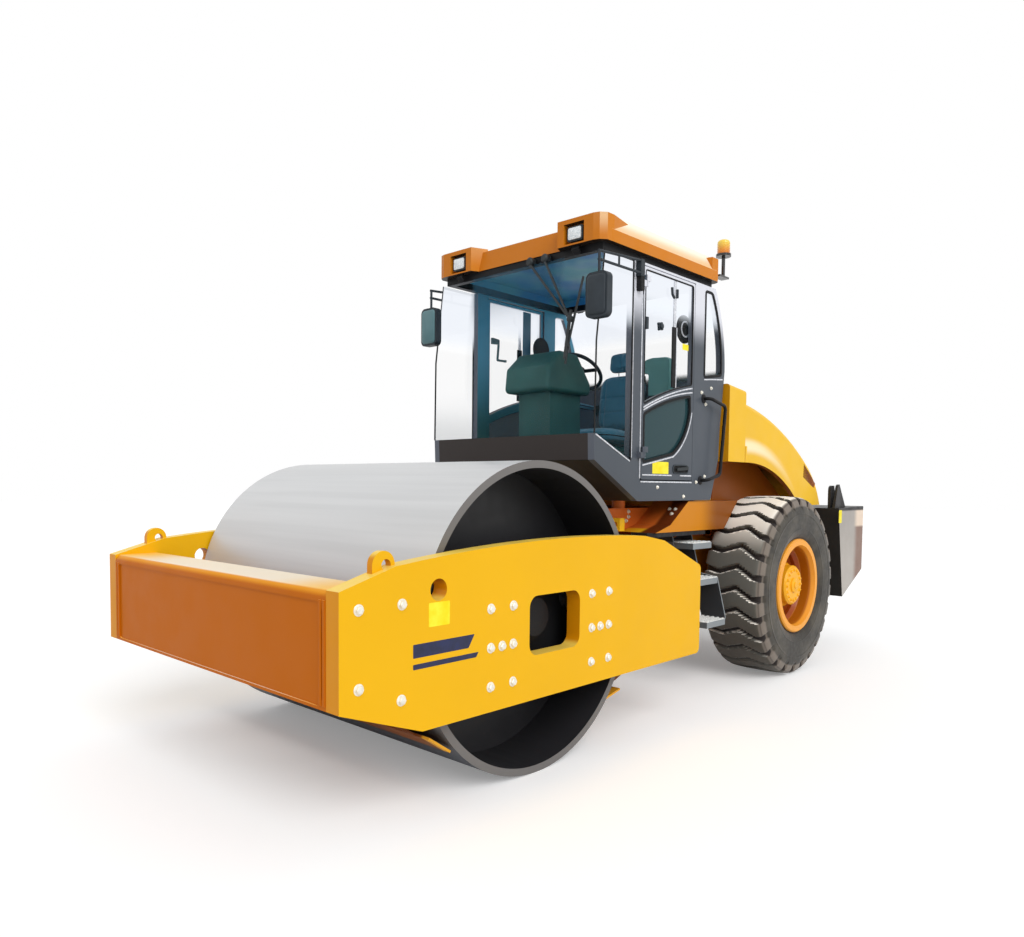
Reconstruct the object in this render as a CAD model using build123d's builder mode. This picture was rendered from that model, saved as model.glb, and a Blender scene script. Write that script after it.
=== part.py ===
"""Single-drum vibratory road roller.

Frame: X forward, Y to the operator's left, Z up, millimetres, origin on the ground
under the middle of the machine.  Side views are drawn in stations, measured forward
from the drum's axis, and heights above the ground.
"""
import math
import os

from build123d import *

os.makedirs("parts", exist_ok=True)

# ---------------------------------------------------------------- driving dimensions
DRUM_R = 850.0
DRUM_WIDTH = 2170.0
DRUM_SHELL = 41.0
DRUM_SIDE_GAP = 18.0
PLATE_THICK = 90.0
WHEELBASE = 3300.0
FRONT_OVERHANG = 1381.0
REAR_OVERHANG = 1900.0
TYRE_R = 746.0
TYRE_WIDTH = 530.0
TYRE_CENTRE_Y = 875.0
RIM_R = 345.0
JOINT_STATION = -1800.0
ROLL_AXIS_Z = 800.0
CAB_HALF_WIDTH = 765.0
CAB_WALL = 50.0
CAB_LOW = 1462.0
CAB_TOP = 3100.0
GLASS = 6.0
HOOD_HALF_WIDTH = 770.0
HOOD_WALL = 12.0

# named clearances
RUNNING = 0.3
SEAT_GAP = 0.3
MOVING_GAP = 8.0

DRUM_X = (WHEELBASE + REAR_OVERHANG - FRONT_OVERHANG) / 2
AXLE = -WHEELBASE
AXLE_X = DRUM_X + AXLE
JOINT_X = DRUM_X + JOINT_STATION
SIDES = (("left", 1), ("right", -1))


def at(station, height):
    """Point of a side view."""
    return (DRUM_X + station, height)


def between(sign, inner, outer):
    """Stretch from inner to outer on one side of the middle, lower value first."""
    return sorted((sign * inner, sign * outer))


def side_face(points, y, radius=0.0):
    """Closed side-view polygon standing at y, its corners rounded by radius."""
    with BuildSketch(Plane.XZ.offset(-y), mode=Mode.PRIVATE) as sketch:
        with BuildLine():
            Polyline(*points, close=True)
        make_face()
        if radius:
            fillet(sketch.vertices(), radius)
    return sketch.sketch


def side_slab(points, y_range, mode=Mode.ADD, radius=0.0):
    """Side-view polygon as thick as a stretch of y."""
    y_low, y_high = y_range
    extrude(side_face(points, y_low, radius), amount=y_low - y_high, mode=mode)


def plan_slab(points, z_range, radius=0.0):
    """Plan-view polygon as thick as a stretch of z."""
    z_low, z_high = z_range
    with BuildSketch(Plane.XY.offset(z_low), mode=Mode.PRIVATE) as sketch:
        with BuildLine():
            Polyline(*points, close=True)
        make_face()
        if radius:
            fillet(sketch.vertices(), radius)
    extrude(sketch.sketch, amount=z_high - z_low)


def block(x_range, y_range, z_range, mode=Mode.ADD):
    """Plain box between two values on each axis."""
    (x0, x1), (y0, y1), (z0, z1) = x_range, y_range, z_range
    with Locations(((x0 + x1) / 2, (y0 + y1) / 2, (z0 + z1) / 2)):
        Box(abs(x1 - x0), abs(y1 - y0), abs(z1 - z0), mode=mode)


def rod(start, end, radius, mode=Mode.ADD):
    """Round bar from start to end."""
    axis = Vector(*end) - Vector(*start)
    with BuildSketch(Plane(origin=start, z_dir=axis), mode=Mode.PRIVATE) as sketch:
        Circle(radius)
    extrude(sketch.sketch, amount=axis.length, mode=mode)


def cross_rod(centre, y_range, radius, mode=Mode.ADD):
    """Round bar across the machine round a point of the side view."""
    rod((centre[0], y_range[0], centre[1]), (centre[0], y_range[1], centre[1]), radius, mode)


def turned(points, centre):
    """Body of revolution round a cross axis: points are (radius, distance out from centre)."""
    with BuildSketch(Plane.XY, mode=Mode.PRIVATE) as section:
        with BuildLine():
            Polyline(*points, close=True)
        make_face()
    revolve(section.sketch.moved(Location(centre)), Axis(centre, (0, 1, 0)), 360)


def save(builder, name):
    builder.part.label = name
    export_step(builder.part, f"parts/{name}.step")


# ================================================================ front frame
PLATE_INNER_Y = DRUM_WIDTH / 2 + DRUM_SIDE_GAP
PLATE_OUTER_Y = PLATE_INNER_Y + PLATE_THICK
PLATE_LOW = 450.0
PLATE_REAR = -1537.0
PLATE_CORNER_R = 40.0
BEAM_LOW, BEAM_HIGH = 612.0, 1123.0
BEAM_DEPTH = 250.0
BEAM_FRONT = DRUM_X + FRONT_OVERHANG
CROSS_FRONT, CROSS_REAR = -1200.0, -1450.0
CROSS_LOW, CROSS_HIGH = 480.0, 1000.0
WINDOW_CENTRE = (-10.0, DRUM_R - 12.0)
WINDOW_LENGTH, WINDOW_HEIGHT, WINDOW_CORNER_R = 420.0, 312.0, 62.0
LIFT_HOLE = (832.0, 1086.0)
LIFT_HOLE_R = 51.0
HOOK_CENTRE = (1122.0, 1215.0)
HOOK_R, HOOK_EYE_R, HOOK_THICK = 62.0, 25.0, 36.0
HOOK_SHANK = 55.0
HOOK_INSET = 18.0

for side, sign in SIDES:
    outer_face = between(sign, PLATE_INNER_Y, PLATE_OUTER_Y)
    with BuildPart() as plate:
        with BuildSketch(Plane.XZ.offset(-outer_face[0]), mode=Mode.PRIVATE) as outline:
            with BuildLine():
                ThreePointArc(at(1080, 1210), at(-40, 1283), at(-860, 1264))
                Polyline(at(-860, 1264), at(-1080, 1226), at(PLATE_REAR, 1039), at(PLATE_REAR, PLATE_LOW),
                         at(927, PLATE_LOW), at(FRONT_OVERHANG, BEAM_LOW), at(FRONT_OVERHANG, BEAM_HIGH),
                         at(1080, 1210))
            make_face()
            fillet(outline.vertices().group_by(Axis.X)[0], PLATE_CORNER_R)
            with Locations(at(*WINDOW_CENTRE)):
                RectangleRounded(WINDOW_LENGTH, WINDOW_HEIGHT, WINDOW_CORNER_R, mode=Mode.SUBTRACT)
            with Locations(at(*LIFT_HOLE)):
                Circle(LIFT_HOLE_R, mode=Mode.SUBTRACT)
        extrude(outline.sketch, amount=-PLATE_THICK)
        # open tie-down hook: shank at the front, curl towards the rear
        hook_low, hook_high = between(sign, PLATE_INNER_Y + HOOK_INSET,
                                      PLATE_INNER_Y + HOOK_INSET + HOOK_THICK)
        eye = at(HOOK_CENTRE[0] - 14, HOOK_CENTRE[1])
        with BuildSketch(Plane.XZ.offset(-hook_low), mode=Mode.PRIVATE) as hook:
            with Locations(at(*HOOK_CENTRE)):
                Circle(HOOK_R)
            with Locations((eye[0] - HOOK_R, eye[1] - HOOK_R - 12)):
                Rectangle(2 * HOOK_R, 2 * HOOK_R, mode=Mode.SUBTRACT)
            with Locations(at(HOOK_CENTRE[0] + HOOK_R - HOOK_SHANK / 2, HOOK_CENTRE[1] - HOOK_R / 2)):
                Rectangle(HOOK_SHANK, HOOK_R)
            with Locations(eye):
                Circle(HOOK_EYE_R, mode=Mode.SUBTRACT)
        extrude(hook.sketch, amount=hook_low - hook_high)
    save(plate, f"side_plate_{side}")

BEAM_BEND_R = 38.0
PANEL_MARGIN, PANEL_DEPTH, PANEL_CORNER_R = 28.0, 6.0, 50.0
with BuildPart() as front_beam:
    block((BEAM_FRONT - BEAM_DEPTH, BEAM_FRONT), (-PLATE_INNER_Y, PLATE_INNER_Y), (BEAM_LOW, BEAM_HIGH))
    fillet(front_beam.edges().filter_by(Axis.Y).group_by(Axis.X)[-1].sort_by(Axis.Z)[-1], BEAM_BEND_R)
    # shallow rounded panel across the front face
    with BuildSketch(Plane.YZ.offset(BEAM_FRONT - PANEL_DEPTH)):
        with Locations((0, (BEAM_LOW + BEAM_HIGH - BEAM_BEND_R) / 2)):
            RectangleRounded(2 * (PLATE_INNER_Y - PANEL_MARGIN),
                             BEAM_HIGH - BEAM_LOW - BEAM_BEND_R - PANEL_MARGIN, PANEL_CORNER_R)
    extrude(amount=PANEL_DEPTH + 1, mode=Mode.SUBTRACT)
save(front_beam, "front_beam")

ROLL_SHAFT_R = 110.0
ROLL_SHAFT_END = JOINT_X + 110.0
with BuildPart() as crossmember:
    block((DRUM_X + CROSS_REAR, DRUM_X + CROSS_FRONT),
          (-PLATE_INNER_Y, PLATE_INNER_Y), (CROSS_LOW, CROSS_HIGH))
    fillet(crossmember.edges().filter_by(Axis.Y), 20)
    rod((DRUM_X + CROSS_REAR + 1, 0, ROLL_AXIS_Z), (ROLL_SHAFT_END, 0, ROLL_AXIS_Z), ROLL_SHAFT_R)
save(crossmember, "rear_crossmember")

# ---------------------------------------------------------------- drum
HEAD_RECESS = 365.0
HEAD_Y = DRUM_WIDTH / 2 - HEAD_RECESS
HEAD_THICK = 30.0
HUB_R, HUB_LENGTH = 210.0, 110.0
JOURNAL_R, JOURNAL_LENGTH = 70.0, 100.0
DRUM_CENTRE = (DRUM_X, 0, DRUM_R)
HUB_END_Y = HEAD_Y + HUB_LENGTH
JOURNAL_END_Y = HUB_END_Y + JOURNAL_LENGTH
inside_r = DRUM_R - DRUM_SHELL
with BuildPart() as drum:
    # half the shell with its dished head, then the closed space between the heads
    turned([(0, 0), (0, JOURNAL_END_Y), (JOURNAL_R, JOURNAL_END_Y), (JOURNAL_R, HUB_END_Y),
            (HUB_R, HUB_END_Y), (HUB_R + 20, HEAD_Y + 40), (HUB_R + 80, HEAD_Y), (inside_r, HEAD_Y),
            (inside_r, DRUM_WIDTH / 2), (DRUM_R, DRUM_WIDTH / 2), (DRUM_R, 0), (inside_r, 0),
            (inside_r, HEAD_Y - HEAD_THICK), (HUB_R, HEAD_Y - HEAD_THICK), (HUB_R, 0)], DRUM_CENTRE)
    mirror(about=Plane.XZ)
save(drum, "drum")

# ---------------------------------------------------------------- elastic drum suspension
# Outwards from the hub: carrier with its bearing housing and motor, rubber buffers,
# brackets bolted to the side plates.
BRACKET_STATIONS = (-408.0, 408.0)
BRACKET_Z = 768.0
BRACKET_LENGTH, BRACKET_HEIGHT, BRACKET_THICK, BRACKET_CORNER_R = 250.0, 470.0, 20.0, 30.0
BUFFER_R, BUFFER_WAIST_R, BUFFER_LENGTH = 58.0, 46.0, 90.0
BUFFER_SPREAD_X, BUFFER_SPREAD_Z = 130.0, 300.0
CARRIER_THICK, CARRIER_LENGTH, CARRIER_HEIGHT, CARRIER_CORNER_R = 25.0, 1120.0, 500.0, 90.0
HOUSING_R, MOTOR_R, MOTOR_FLANGE_R = 240.0, 105.0, 150.0
BRACKET_IN = PLATE_INNER_Y - BRACKET_THICK
CARRIER_OUT = BRACKET_IN - BUFFER_LENGTH
CARRIER_IN = CARRIER_OUT - CARRIER_THICK

with BuildPart() as mount_brackets:
    for side, sign in SIDES:
        low, high = between(sign, BRACKET_IN, PLATE_INNER_Y)
        with BuildSketch(Plane.XZ.offset(-low), mode=Mode.PRIVATE) as brackets:
            with Locations([at(station, BRACKET_Z) for station in BRACKET_STATIONS]):
                RectangleRounded(BRACKET_LENGTH, BRACKET_HEIGHT, BRACKET_CORNER_R)
        extrude(brackets.sketch, amount=low - high)
save(mount_brackets, "mount_brackets")

with BuildPart() as buffers:
    for side, sign in SIDES:
        with BuildSketch(Plane.XY, mode=Mode.PRIVATE) as section:
            with BuildLine():
                Polyline((BUFFER_R, 0), (0, 0), (0, sign * BUFFER_LENGTH), (BUFFER_R, sign * BUFFER_LENGTH))
                ThreePointArc((BUFFER_R, sign * BUFFER_LENGTH), (BUFFER_WAIST_R, sign * BUFFER_LENGTH / 2),
                              (BUFFER_R, 0))
            make_face()
        for station in BRACKET_STATIONS:
            for dx in (-BUFFER_SPREAD_X / 2, BUFFER_SPREAD_X / 2):
                for dz in (-BUFFER_SPREAD_Z / 2, BUFFER_SPREAD_Z / 2):
                    centre = (DRUM_X + station + dx, sign * CARRIER_OUT, BRACKET_Z + dz)
                    revolve(section.sketch.moved(Location(centre)), Axis(centre, (0, 1, 0)), 360)
save(buffers, "rubber_buffers")

with BuildPart() as carriers:
    for side, sign in SIDES:
        low, high = between(sign, CARRIER_IN, CARRIER_OUT)
        with BuildSketch(Plane.XZ.offset(-low), mode=Mode.PRIVATE) as carrier:
            with Locations(at(0, BRACKET_Z)):
                RectangleRounded(CARRIER_LENGTH, CARRIER_HEIGHT, CARRIER_CORNER_R)
        extrude(carrier.sketch, amount=low - high)
        end = JOURNAL_END_Y + MOVING_GAP
        bore = JOURNAL_R + RUNNING
        inner = HUB_END_Y + MOVING_GAP
        turned([(bore, sign * inner), (HOUSING_R - 25, sign * inner), (HOUSING_R, sign * (inner + 25)),
                (HOUSING_R, sign * (CARRIER_IN + 1)), (HOUSING_R, sign * (CARRIER_OUT - 1)),
                (MOTOR_FLANGE_R, sign * (CARRIER_OUT - 1)), (MOTOR_FLANGE_R, sign * (CARRIER_OUT + 18)),
                (MOTOR_R, sign * (CARRIER_OUT + 18)), (MOTOR_R, sign * (CARRIER_OUT + 70)),
                (0, sign * (CARRIER_OUT + 70)), (0, sign * end), (bore, sign * end)], DRUM_CENTRE)
save(carriers, "drum_carriers")

# ---------------------------------------------------------------- scrapers
SCRAPER_GAP = 10.0
SCRAPER_HALF = DRUM_WIDTH / 2 - 25
SCRAPER_THICK, SCRAPER_REACH = 12.0, 172.0
SCRAPER_ARM_THICK = 24.0
SCRAPERS = (
    # direction, tip angle below the axis, blade slope, far and near end of the foot, foot height
    (1, 43.5, 34.0, 1240.0, 1150.0, BEAM_LOW),
    (-1, 42.0, 12.0, -1340.0, -1250.0, CROSS_LOW),
)
with BuildPart() as scrapers:
    for way, tip_angle, slope, foot_far, foot_near, foot_z in SCRAPERS:
        tip_r = DRUM_R + SCRAPER_GAP + SCRAPER_THICK / 2
        tip = Vector(way * tip_r * math.cos(math.radians(tip_angle)),
                     DRUM_R - tip_r * math.sin(math.radians(tip_angle)))
        along = Vector(way * math.cos(math.radians(slope)), math.sin(math.radians(slope)))
        up = Vector(-way * math.sin(math.radians(slope)), math.cos(math.radians(slope))) * SCRAPER_THICK / 2
        end = tip + along * SCRAPER_REACH
        side_slab([at(p.X, p.Y) for p in (tip - up, end - up, end + up, tip + up)],
                  (-SCRAPER_HALF, SCRAPER_HALF))
        root = tip + along * SCRAPER_REACH / 2
        corners = (root, end, Vector(foot_far, foot_z), Vector(foot_near, foot_z))
        middle = sum(corners, Vector()) / len(corners)
        corners = sorted(corners, key=lambda p: math.atan2(p.Y - middle.Y, p.X - middle.X))
        for share in (-0.9, -0.3, 0.3, 0.9):
            y = share * SCRAPER_HALF
            side_slab([at(p.X, p.Y) for p in corners],
                      (y - SCRAPER_ARM_THICK / 2, y + SCRAPER_ARM_THICK / 2))
save(scrapers, "scrapers")

# ================================================================ centre joint
YOKE_R = 185.0
YOKE_FRONT = DRUM_X + CROSS_REAR - 10
KNUCKLE_R = 85.0
PIN_R = 45.0
LUG_LOW_Z, LUG_HIGH_Z = 570.0, 1030.0
LUG_THICK = 40.0
KNUCKLE_LOW = LUG_LOW_Z + LUG_THICK / 2 + 1
KNUCKLE_HIGH = LUG_HIGH_Z - LUG_THICK / 2 - 1
EAR_ANGLE = 60.0
EAR_REACH = 280.0
EAR_LOW, EAR_HIGH = 730.0, 760.0
EYE_Z = 800.0
EYE_HALF = 28.0
EYE_R = 45.0


def ear_point(sign):
    """Steering cylinder's eye on the yoke at rest."""
    angle = math.radians(EAR_ANGLE) * sign
    return (JOINT_X + EAR_REACH * math.cos(angle), EAR_REACH * math.sin(angle))


with BuildPart() as centre_joint:
    rod((JOINT_X, 0, KNUCKLE_LOW), (JOINT_X, 0, KNUCKLE_HIGH), KNUCKLE_R)
    rod((YOKE_FRONT, 0, ROLL_AXIS_Z), (JOINT_X + 90, 0, ROLL_AXIS_Z), YOKE_R)
    block((JOINT_X, JOINT_X + 120), (-60, 60), (KNUCKLE_LOW + 30, KNUCKLE_HIGH - 30))
    for sign in (1, -1):
        ex, ey = ear_point(sign)
        with BuildSketch(Plane.XY.offset(EAR_LOW), mode=Mode.PRIVATE) as ear:
            with BuildLine():
                Polyline((ex + 30, ey + sign * 32), (ex - 34, ey + sign * 30), (JOINT_X + 40, sign * 40),
                         (JOINT_X + 150, sign * 40), close=True)
            make_face()
            with Locations((ex, ey)):
                Circle(44)
        extrude(ear.sketch, amount=EAR_HIGH - EAR_LOW)
    rod((YOKE_FRONT, 0, ROLL_AXIS_Z), (ROLL_SHAFT_END - 12, 0, ROLL_AXIS_Z),
        ROLL_SHAFT_R + RUNNING, Mode.SUBTRACT)
    rod((JOINT_X, 0, KNUCKLE_LOW), (JOINT_X, 0, KNUCKLE_HIGH), PIN_R + RUNNING, Mode.SUBTRACT)
save(centre_joint, "centre_joint")

# ---------------------------------------------------------------- steering cylinders
BARREL_PIN_STATION = -2520.0
BARREL_PIN_Y = 320.0
BARREL_R, BARREL_LENGTH = 42.0, 430.0
BARREL_EYE_R, BARREL_PIN_R = 50.0, 25.0
ROD_R = 22.0
for side, sign in SIDES:
    ex, ey = ear_point(sign)
    pin = Vector(DRUM_X + BARREL_PIN_STATION, sign * BARREL_PIN_Y, EYE_Z)
    eye = Vector(ex, ey, EYE_Z)
    half = Vector(0, 0, EYE_HALF)
    along = (eye - pin).normalized()
    mouth = pin + along * BARREL_LENGTH
    with BuildPart() as barrel:
        rod(pin + along * 44, mouth, BARREL_R)
        rod(mouth - along * 45, mouth, BARREL_R + 8)
        rod(pin - half, pin + half, BARREL_EYE_R)
        rod(mouth - along * 330, mouth, ROD_R + RUNNING, Mode.SUBTRACT)
        rod(pin - half, pin + half, BARREL_PIN_R + RUNNING, Mode.SUBTRACT)
    save(barrel, f"steer_barrel_{side}")
    with BuildPart() as piston:
        rod(mouth - along * 140, eye - along * 20, ROD_R)
        rod(eye - half, eye + half, EYE_R)
        rod(eye + half, eye + half + Vector(0, 0, 14), 22)
    save(piston, f"steer_rod_{side}")

# ================================================================ rear frame
RAIL_Y = 400.0
RAIL_THICK = 30.0
WEIGHT_FRONT = AXLE - 1140.0
RAIL_FRONT, RAIL_REAR = -2150.0, WEIGHT_FRONT + SEAT_GAP
RAIL_LOW, RAIL_HIGH = 550.0, 1150.0
AXLE_Z = TYRE_R
AXLE_R = 130.0
CROSSBAR_STATIONS = (-2700.0, AXLE + 300, AXLE - 350, WEIGHT_FRONT + 40)
with BuildPart() as rear_frame:
    for sign in (1, -1):
        side_slab([at(RAIL_FRONT, RAIL_LOW), at(RAIL_FRONT, RAIL_HIGH - 100), at(RAIL_FRONT - 120, RAIL_HIGH),
                   at(RAIL_REAR, RAIL_HIGH), at(RAIL_REAR, RAIL_LOW + 70), at(AXLE - 600, RAIL_LOW)],
                  between(sign, RAIL_Y, RAIL_Y + RAIL_THICK))
    for z in (LUG_LOW_Z, LUG_HIGH_Z):
        with BuildSketch(Plane.XY.offset(z - LUG_THICK / 2), mode=Mode.PRIVATE) as lug:
            with BuildLine():
                Polyline((JOINT_X, -100), (JOINT_X, 100), (DRUM_X + RAIL_FRONT, RAIL_Y),
                         (DRUM_X + CROSSBAR_STATIONS[0], RAIL_Y), (DRUM_X + CROSSBAR_STATIONS[0], -RAIL_Y),
                         (DRUM_X + RAIL_FRONT, -RAIL_Y), close=True)
            make_face()
            with Locations((JOINT_X, 0)):
                Circle(100)
        extrude(lug.sketch, amount=LUG_THICK)
    # hinge pins, top and bottom, and the posts that carry the steering cylinders
    rod((JOINT_X, 0, LUG_LOW_Z), (JOINT_X, 0, LUG_LOW_Z + 140), PIN_R)
    rod((JOINT_X, 0, LUG_HIGH_Z), (JOINT_X, 0, LUG_HIGH_Z - 140), PIN_R)
    for sign in (1, -1):
        post = (DRUM_X + BARREL_PIN_STATION, sign * BARREL_PIN_Y)
        rod((*post, LUG_LOW_Z), (*post, EYE_Z - EYE_HALF - 0.5), 34)
        rod((*post, LUG_LOW_Z), (*post, EYE_Z + EYE_HALF + 10), BARREL_PIN_R)
    for station in CROSSBAR_STATIONS:
        block((DRUM_X + station - 30, DRUM_X + station), (-RAIL_Y, RAIL_Y),
              (RAIL_LOW + 50, RAIL_HIGH - 50))
    cross_rod((AXLE_X, AXLE_Z), (-RAIL_Y - RAIL_THICK, RAIL_Y + RAIL_THICK),
              AXLE_R + MOVING_GAP, Mode.SUBTRACT)
save(rear_frame, "rear_frame")

SPINDLE_R = 80.0
SPINDLE_END = TYRE_CENTRE_Y - 175.0
AXLE_END = TYRE_CENTRE_Y - 335.0
AXLE_FLANGE = RAIL_Y + RAIL_THICK
with BuildPart() as rear_axle:
    cross_rod((AXLE_X, AXLE_Z), (-AXLE_END, AXLE_END), AXLE_R)
    for sign in (1, -1):
        cross_rod((AXLE_X, AXLE_Z), (sign * AXLE_FLANGE, sign * (AXLE_FLANGE + 30)), 200)
        cross_rod((AXLE_X, AXLE_Z), (sign * (AXLE_END - 10), sign * SPINDLE_END), SPINDLE_R)
save(rear_axle, "rear_axle")

ENGINE_HALF = 330.0
with BuildPart() as engine:
    block((AXLE_X - 950, AXLE_X + 150), (-ENGINE_HALF, ENGINE_HALF), (RAIL_HIGH - 50 + SEAT_GAP, 1620))
save(engine, "engine_block")

# ---------------------------------------------------------------- wheels
RIM_HALF = 218.0
RIM_WALL = 22.0
RIM_FLANGE_R, RIM_FLANGE = 392.0, 30.0
DISC_OUT, DISC_IN = 70.0, 42.0
HUB_FACE, HUB_FACE_R = 205.0, 165.0
HUB_REAR = TYRE_CENTRE_Y - AXLE_END - 5
HUB_FLOOR = TYRE_CENTRE_Y - SPINDLE_END - MOVING_GAP
SHOULDER_R, SHOULDER_HALF = TYRE_R - 48, TYRE_WIDTH / 2 - 16
TREAD_HALF = TYRE_WIDTH / 2 - 62
seat_r = RIM_R - SEAT_GAP
well_r = seat_r - RIM_WALL
edge = RIM_HALF + SEAT_GAP
for side, sign in SIDES:
    centre = (AXLE_X, sign * TYRE_CENTRE_Y, AXLE_Z)
    with BuildPart() as tyre:
        with BuildSketch(Plane.XY, mode=Mode.PRIVATE) as section:
            with BuildLine():
                for out in (1, -1):
                    Polyline((RIM_R, 0), (RIM_R, out * RIM_HALF), (RIM_FLANGE_R + 8, out * RIM_HALF))
                    ThreePointArc((RIM_FLANGE_R + 8, out * RIM_HALF),
                                  ((RIM_FLANGE_R + SHOULDER_R) / 2, out * TYRE_WIDTH / 2),
                                  (SHOULDER_R, out * SHOULDER_HALF))
                    ThreePointArc((SHOULDER_R, out * SHOULDER_HALF), (TYRE_R - 18, out * (TREAD_HALF + 32)),
                                  (TYRE_R - 6, out * TREAD_HALF))
                ThreePointArc((TYRE_R - 6, TREAD_HALF), (TYRE_R, 0), (TYRE_R - 6, -TREAD_HALF))
            make_face()
        revolve(section.sketch.moved(Location(centre)), Axis(centre, (0, 1, 0)), 360)
    save(tyre, f"tyre_{side}")
    with BuildPart() as rim:
        # from the bore round the hub, disc, well and both flanges
        profile = [
            (SPINDLE_R + RUNNING, -HUB_REAR), (SPINDLE_R + RUNNING, -HUB_FLOOR), (0, -HUB_FLOOR),
            (0, HUB_FACE), (HUB_FACE_R - 15, HUB_FACE), (HUB_FACE_R, HUB_FACE - 15),
            (HUB_FACE_R, HUB_FACE - 70), (HUB_FACE_R + 25, HUB_FACE - 85), (HUB_FACE_R + 25, DISC_OUT),
            (well_r - 30, DISC_OUT), (well_r - 30, DISC_OUT + 30), (well_r, DISC_OUT + 60),
            (well_r, edge - 20), (well_r + 16, edge + RIM_FLANGE), (RIM_FLANGE_R - 10, edge + RIM_FLANGE),
            (RIM_FLANGE_R, edge + RIM_FLANGE - 10), (RIM_FLANGE_R, edge + 4), (seat_r, edge),
            (seat_r, -edge), (RIM_FLANGE_R, -edge - 4), (RIM_FLANGE_R, -edge - RIM_FLANGE),
            (well_r + 16, -edge - RIM_FLANGE), (well_r, -edge), (well_r, DISC_IN - 40),
            (well_r - 30, DISC_IN), (HUB_FACE_R, DISC_IN), (HUB_FACE_R, -HUB_REAR),
        ]
        turned([(r, sign * y) for r, y in profile], centre)
    save(rim, f"rim_{side}")

# ---------------------------------------------------------------- deck, steps, hood collar
DECK_LOW, DECK_HIGH = 1228.0, 1400.0
NECK_HALF, SKIRT_Y, SKIRT_HIGH = 450.0, 750.0, CAB_LOW - MOVING_GAP
SKIRT_REAR_LOW, SKIRT_REAR_HIGH = AXLE + 610, AXLE + 385
MOUNT_Y, MOUNT_R = 390.0, 50.0
DECK_REAR = -2900.0
BAY_HALF = 500.0
with BuildPart() as deck:
    side_slab([at(-1500, DECK_HIGH), at(-1500, DECK_LOW + 12), at(-1600, DECK_LOW), at(-2430, DECK_LOW),
               at(-2520, RAIL_HIGH + SEAT_GAP), at(DECK_REAR, RAIL_HIGH + SEAT_GAP),
               at(DECK_REAR, DECK_HIGH)],
              (-NECK_HALF, NECK_HALF))
    for sign in (1, -1):
        # skirt with its raked front edge, and the lifting lug on the neck
        side_slab([at(-2122, SKIRT_HIGH), at(-1872, 1280), at(-1671, DECK_LOW), at(-2450, DECK_LOW),
                   at(-2545, 1300), at(-2580, SKIRT_HIGH)], between(sign, NECK_HALF - 1, SKIRT_Y))
        # its rear part beside the engine bay, cut back along the tyre
        side_slab([at(-2440, SKIRT_HIGH), at(-2440, DECK_LOW), at(SKIRT_REAR_LOW, DECK_LOW),
                   at(SKIRT_REAR_HIGH, SKIRT_HIGH)], between(sign, BAY_HALF + 2, SKIRT_Y))
        block((DRUM_X - 1570, DRUM_X - 1510), (sign * (NECK_HALF - 1), sign * (NECK_HALF + 105)),
              (DECK_LOW + 12, DECK_LOW + 105))
        rod((DRUM_X - 1571, sign * (NECK_HALF + 65), DECK_LOW + 60),
            (DRUM_X - 1509, sign * (NECK_HALF + 65), DECK_LOW + 60), 18, Mode.SUBTRACT)
        # rubber mounts under the cab's four corners
        for station in (-1720, -2380):
            rod((DRUM_X + station, sign * MOUNT_Y, DECK_HIGH),
                (DRUM_X + station, sign * MOUNT_Y, CAB_LOW - SEAT_GAP), MOUNT_R)
    fillet(deck.edges().filter_by(Axis.Z).group_by(Axis.Y)[-1] +
           deck.edges().filter_by(Axis.Z).group_by(Axis.Y)[0], 6)
save(deck, "deck")

STEP_FRONT, STEP_REAR = -2110.0, -2400.0
STEP_CHEEK = 12.0
TREAD_THICK = 45.0
STEP_TREADS = ((1135, 560, 802), (864, 640, 864), (548, 720, 932))  # height, inner y, outer y
STEP_CHEEKS = (
    # station of the cheek's front, outer edge of the cheek from the top down
    (STEP_FRONT, ((620, 1195), (762, 560), (760, 520))),
    (STEP_REAR + STEP_CHEEK, ((625, 1195), (700, 890), (860, 866), (935, 560), (925, 520))),
)
with BuildPart() as steps:
    for sign in (1, -1):
        for front, outer_edge in STEP_CHEEKS:
            outline = ((450, 1080), (450, 1140), (560, 1195)) + outer_edge + ((740, 520), (640, 880))
            with BuildSketch(Plane.YZ.offset(DRUM_X + front - STEP_CHEEK), mode=Mode.PRIVATE) as cheek:
                with BuildLine():
                    Polyline(*[(sign * y, z) for y, z in outline], close=True)
                make_face()
            extrude(cheek.sketch, amount=STEP_CHEEK)
        for height, inner, outer in STEP_TREADS:
            block((DRUM_X + STEP_REAR + 5, DRUM_X + STEP_FRONT - 5),
                  (sign * inner, sign * outer), (height - TREAD_THICK, height))
        block((DRUM_X + STEP_REAR, DRUM_X + STEP_FRONT),
              (sign * (RAIL_Y + RAIL_THICK), sign * 460), (1080, 1140))
        # platform plate under the skirt, tapering forward
        plan_slab([(DRUM_X + x, sign * y) for x, y in
                   ((STEP_REAR, 560), (STEP_REAR, 742), (-1700, 742), (-1640, 700), (-1640, 560))],
                  (1195, DECK_LOW - SEAT_GAP))
save(steps, "steps")

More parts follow.
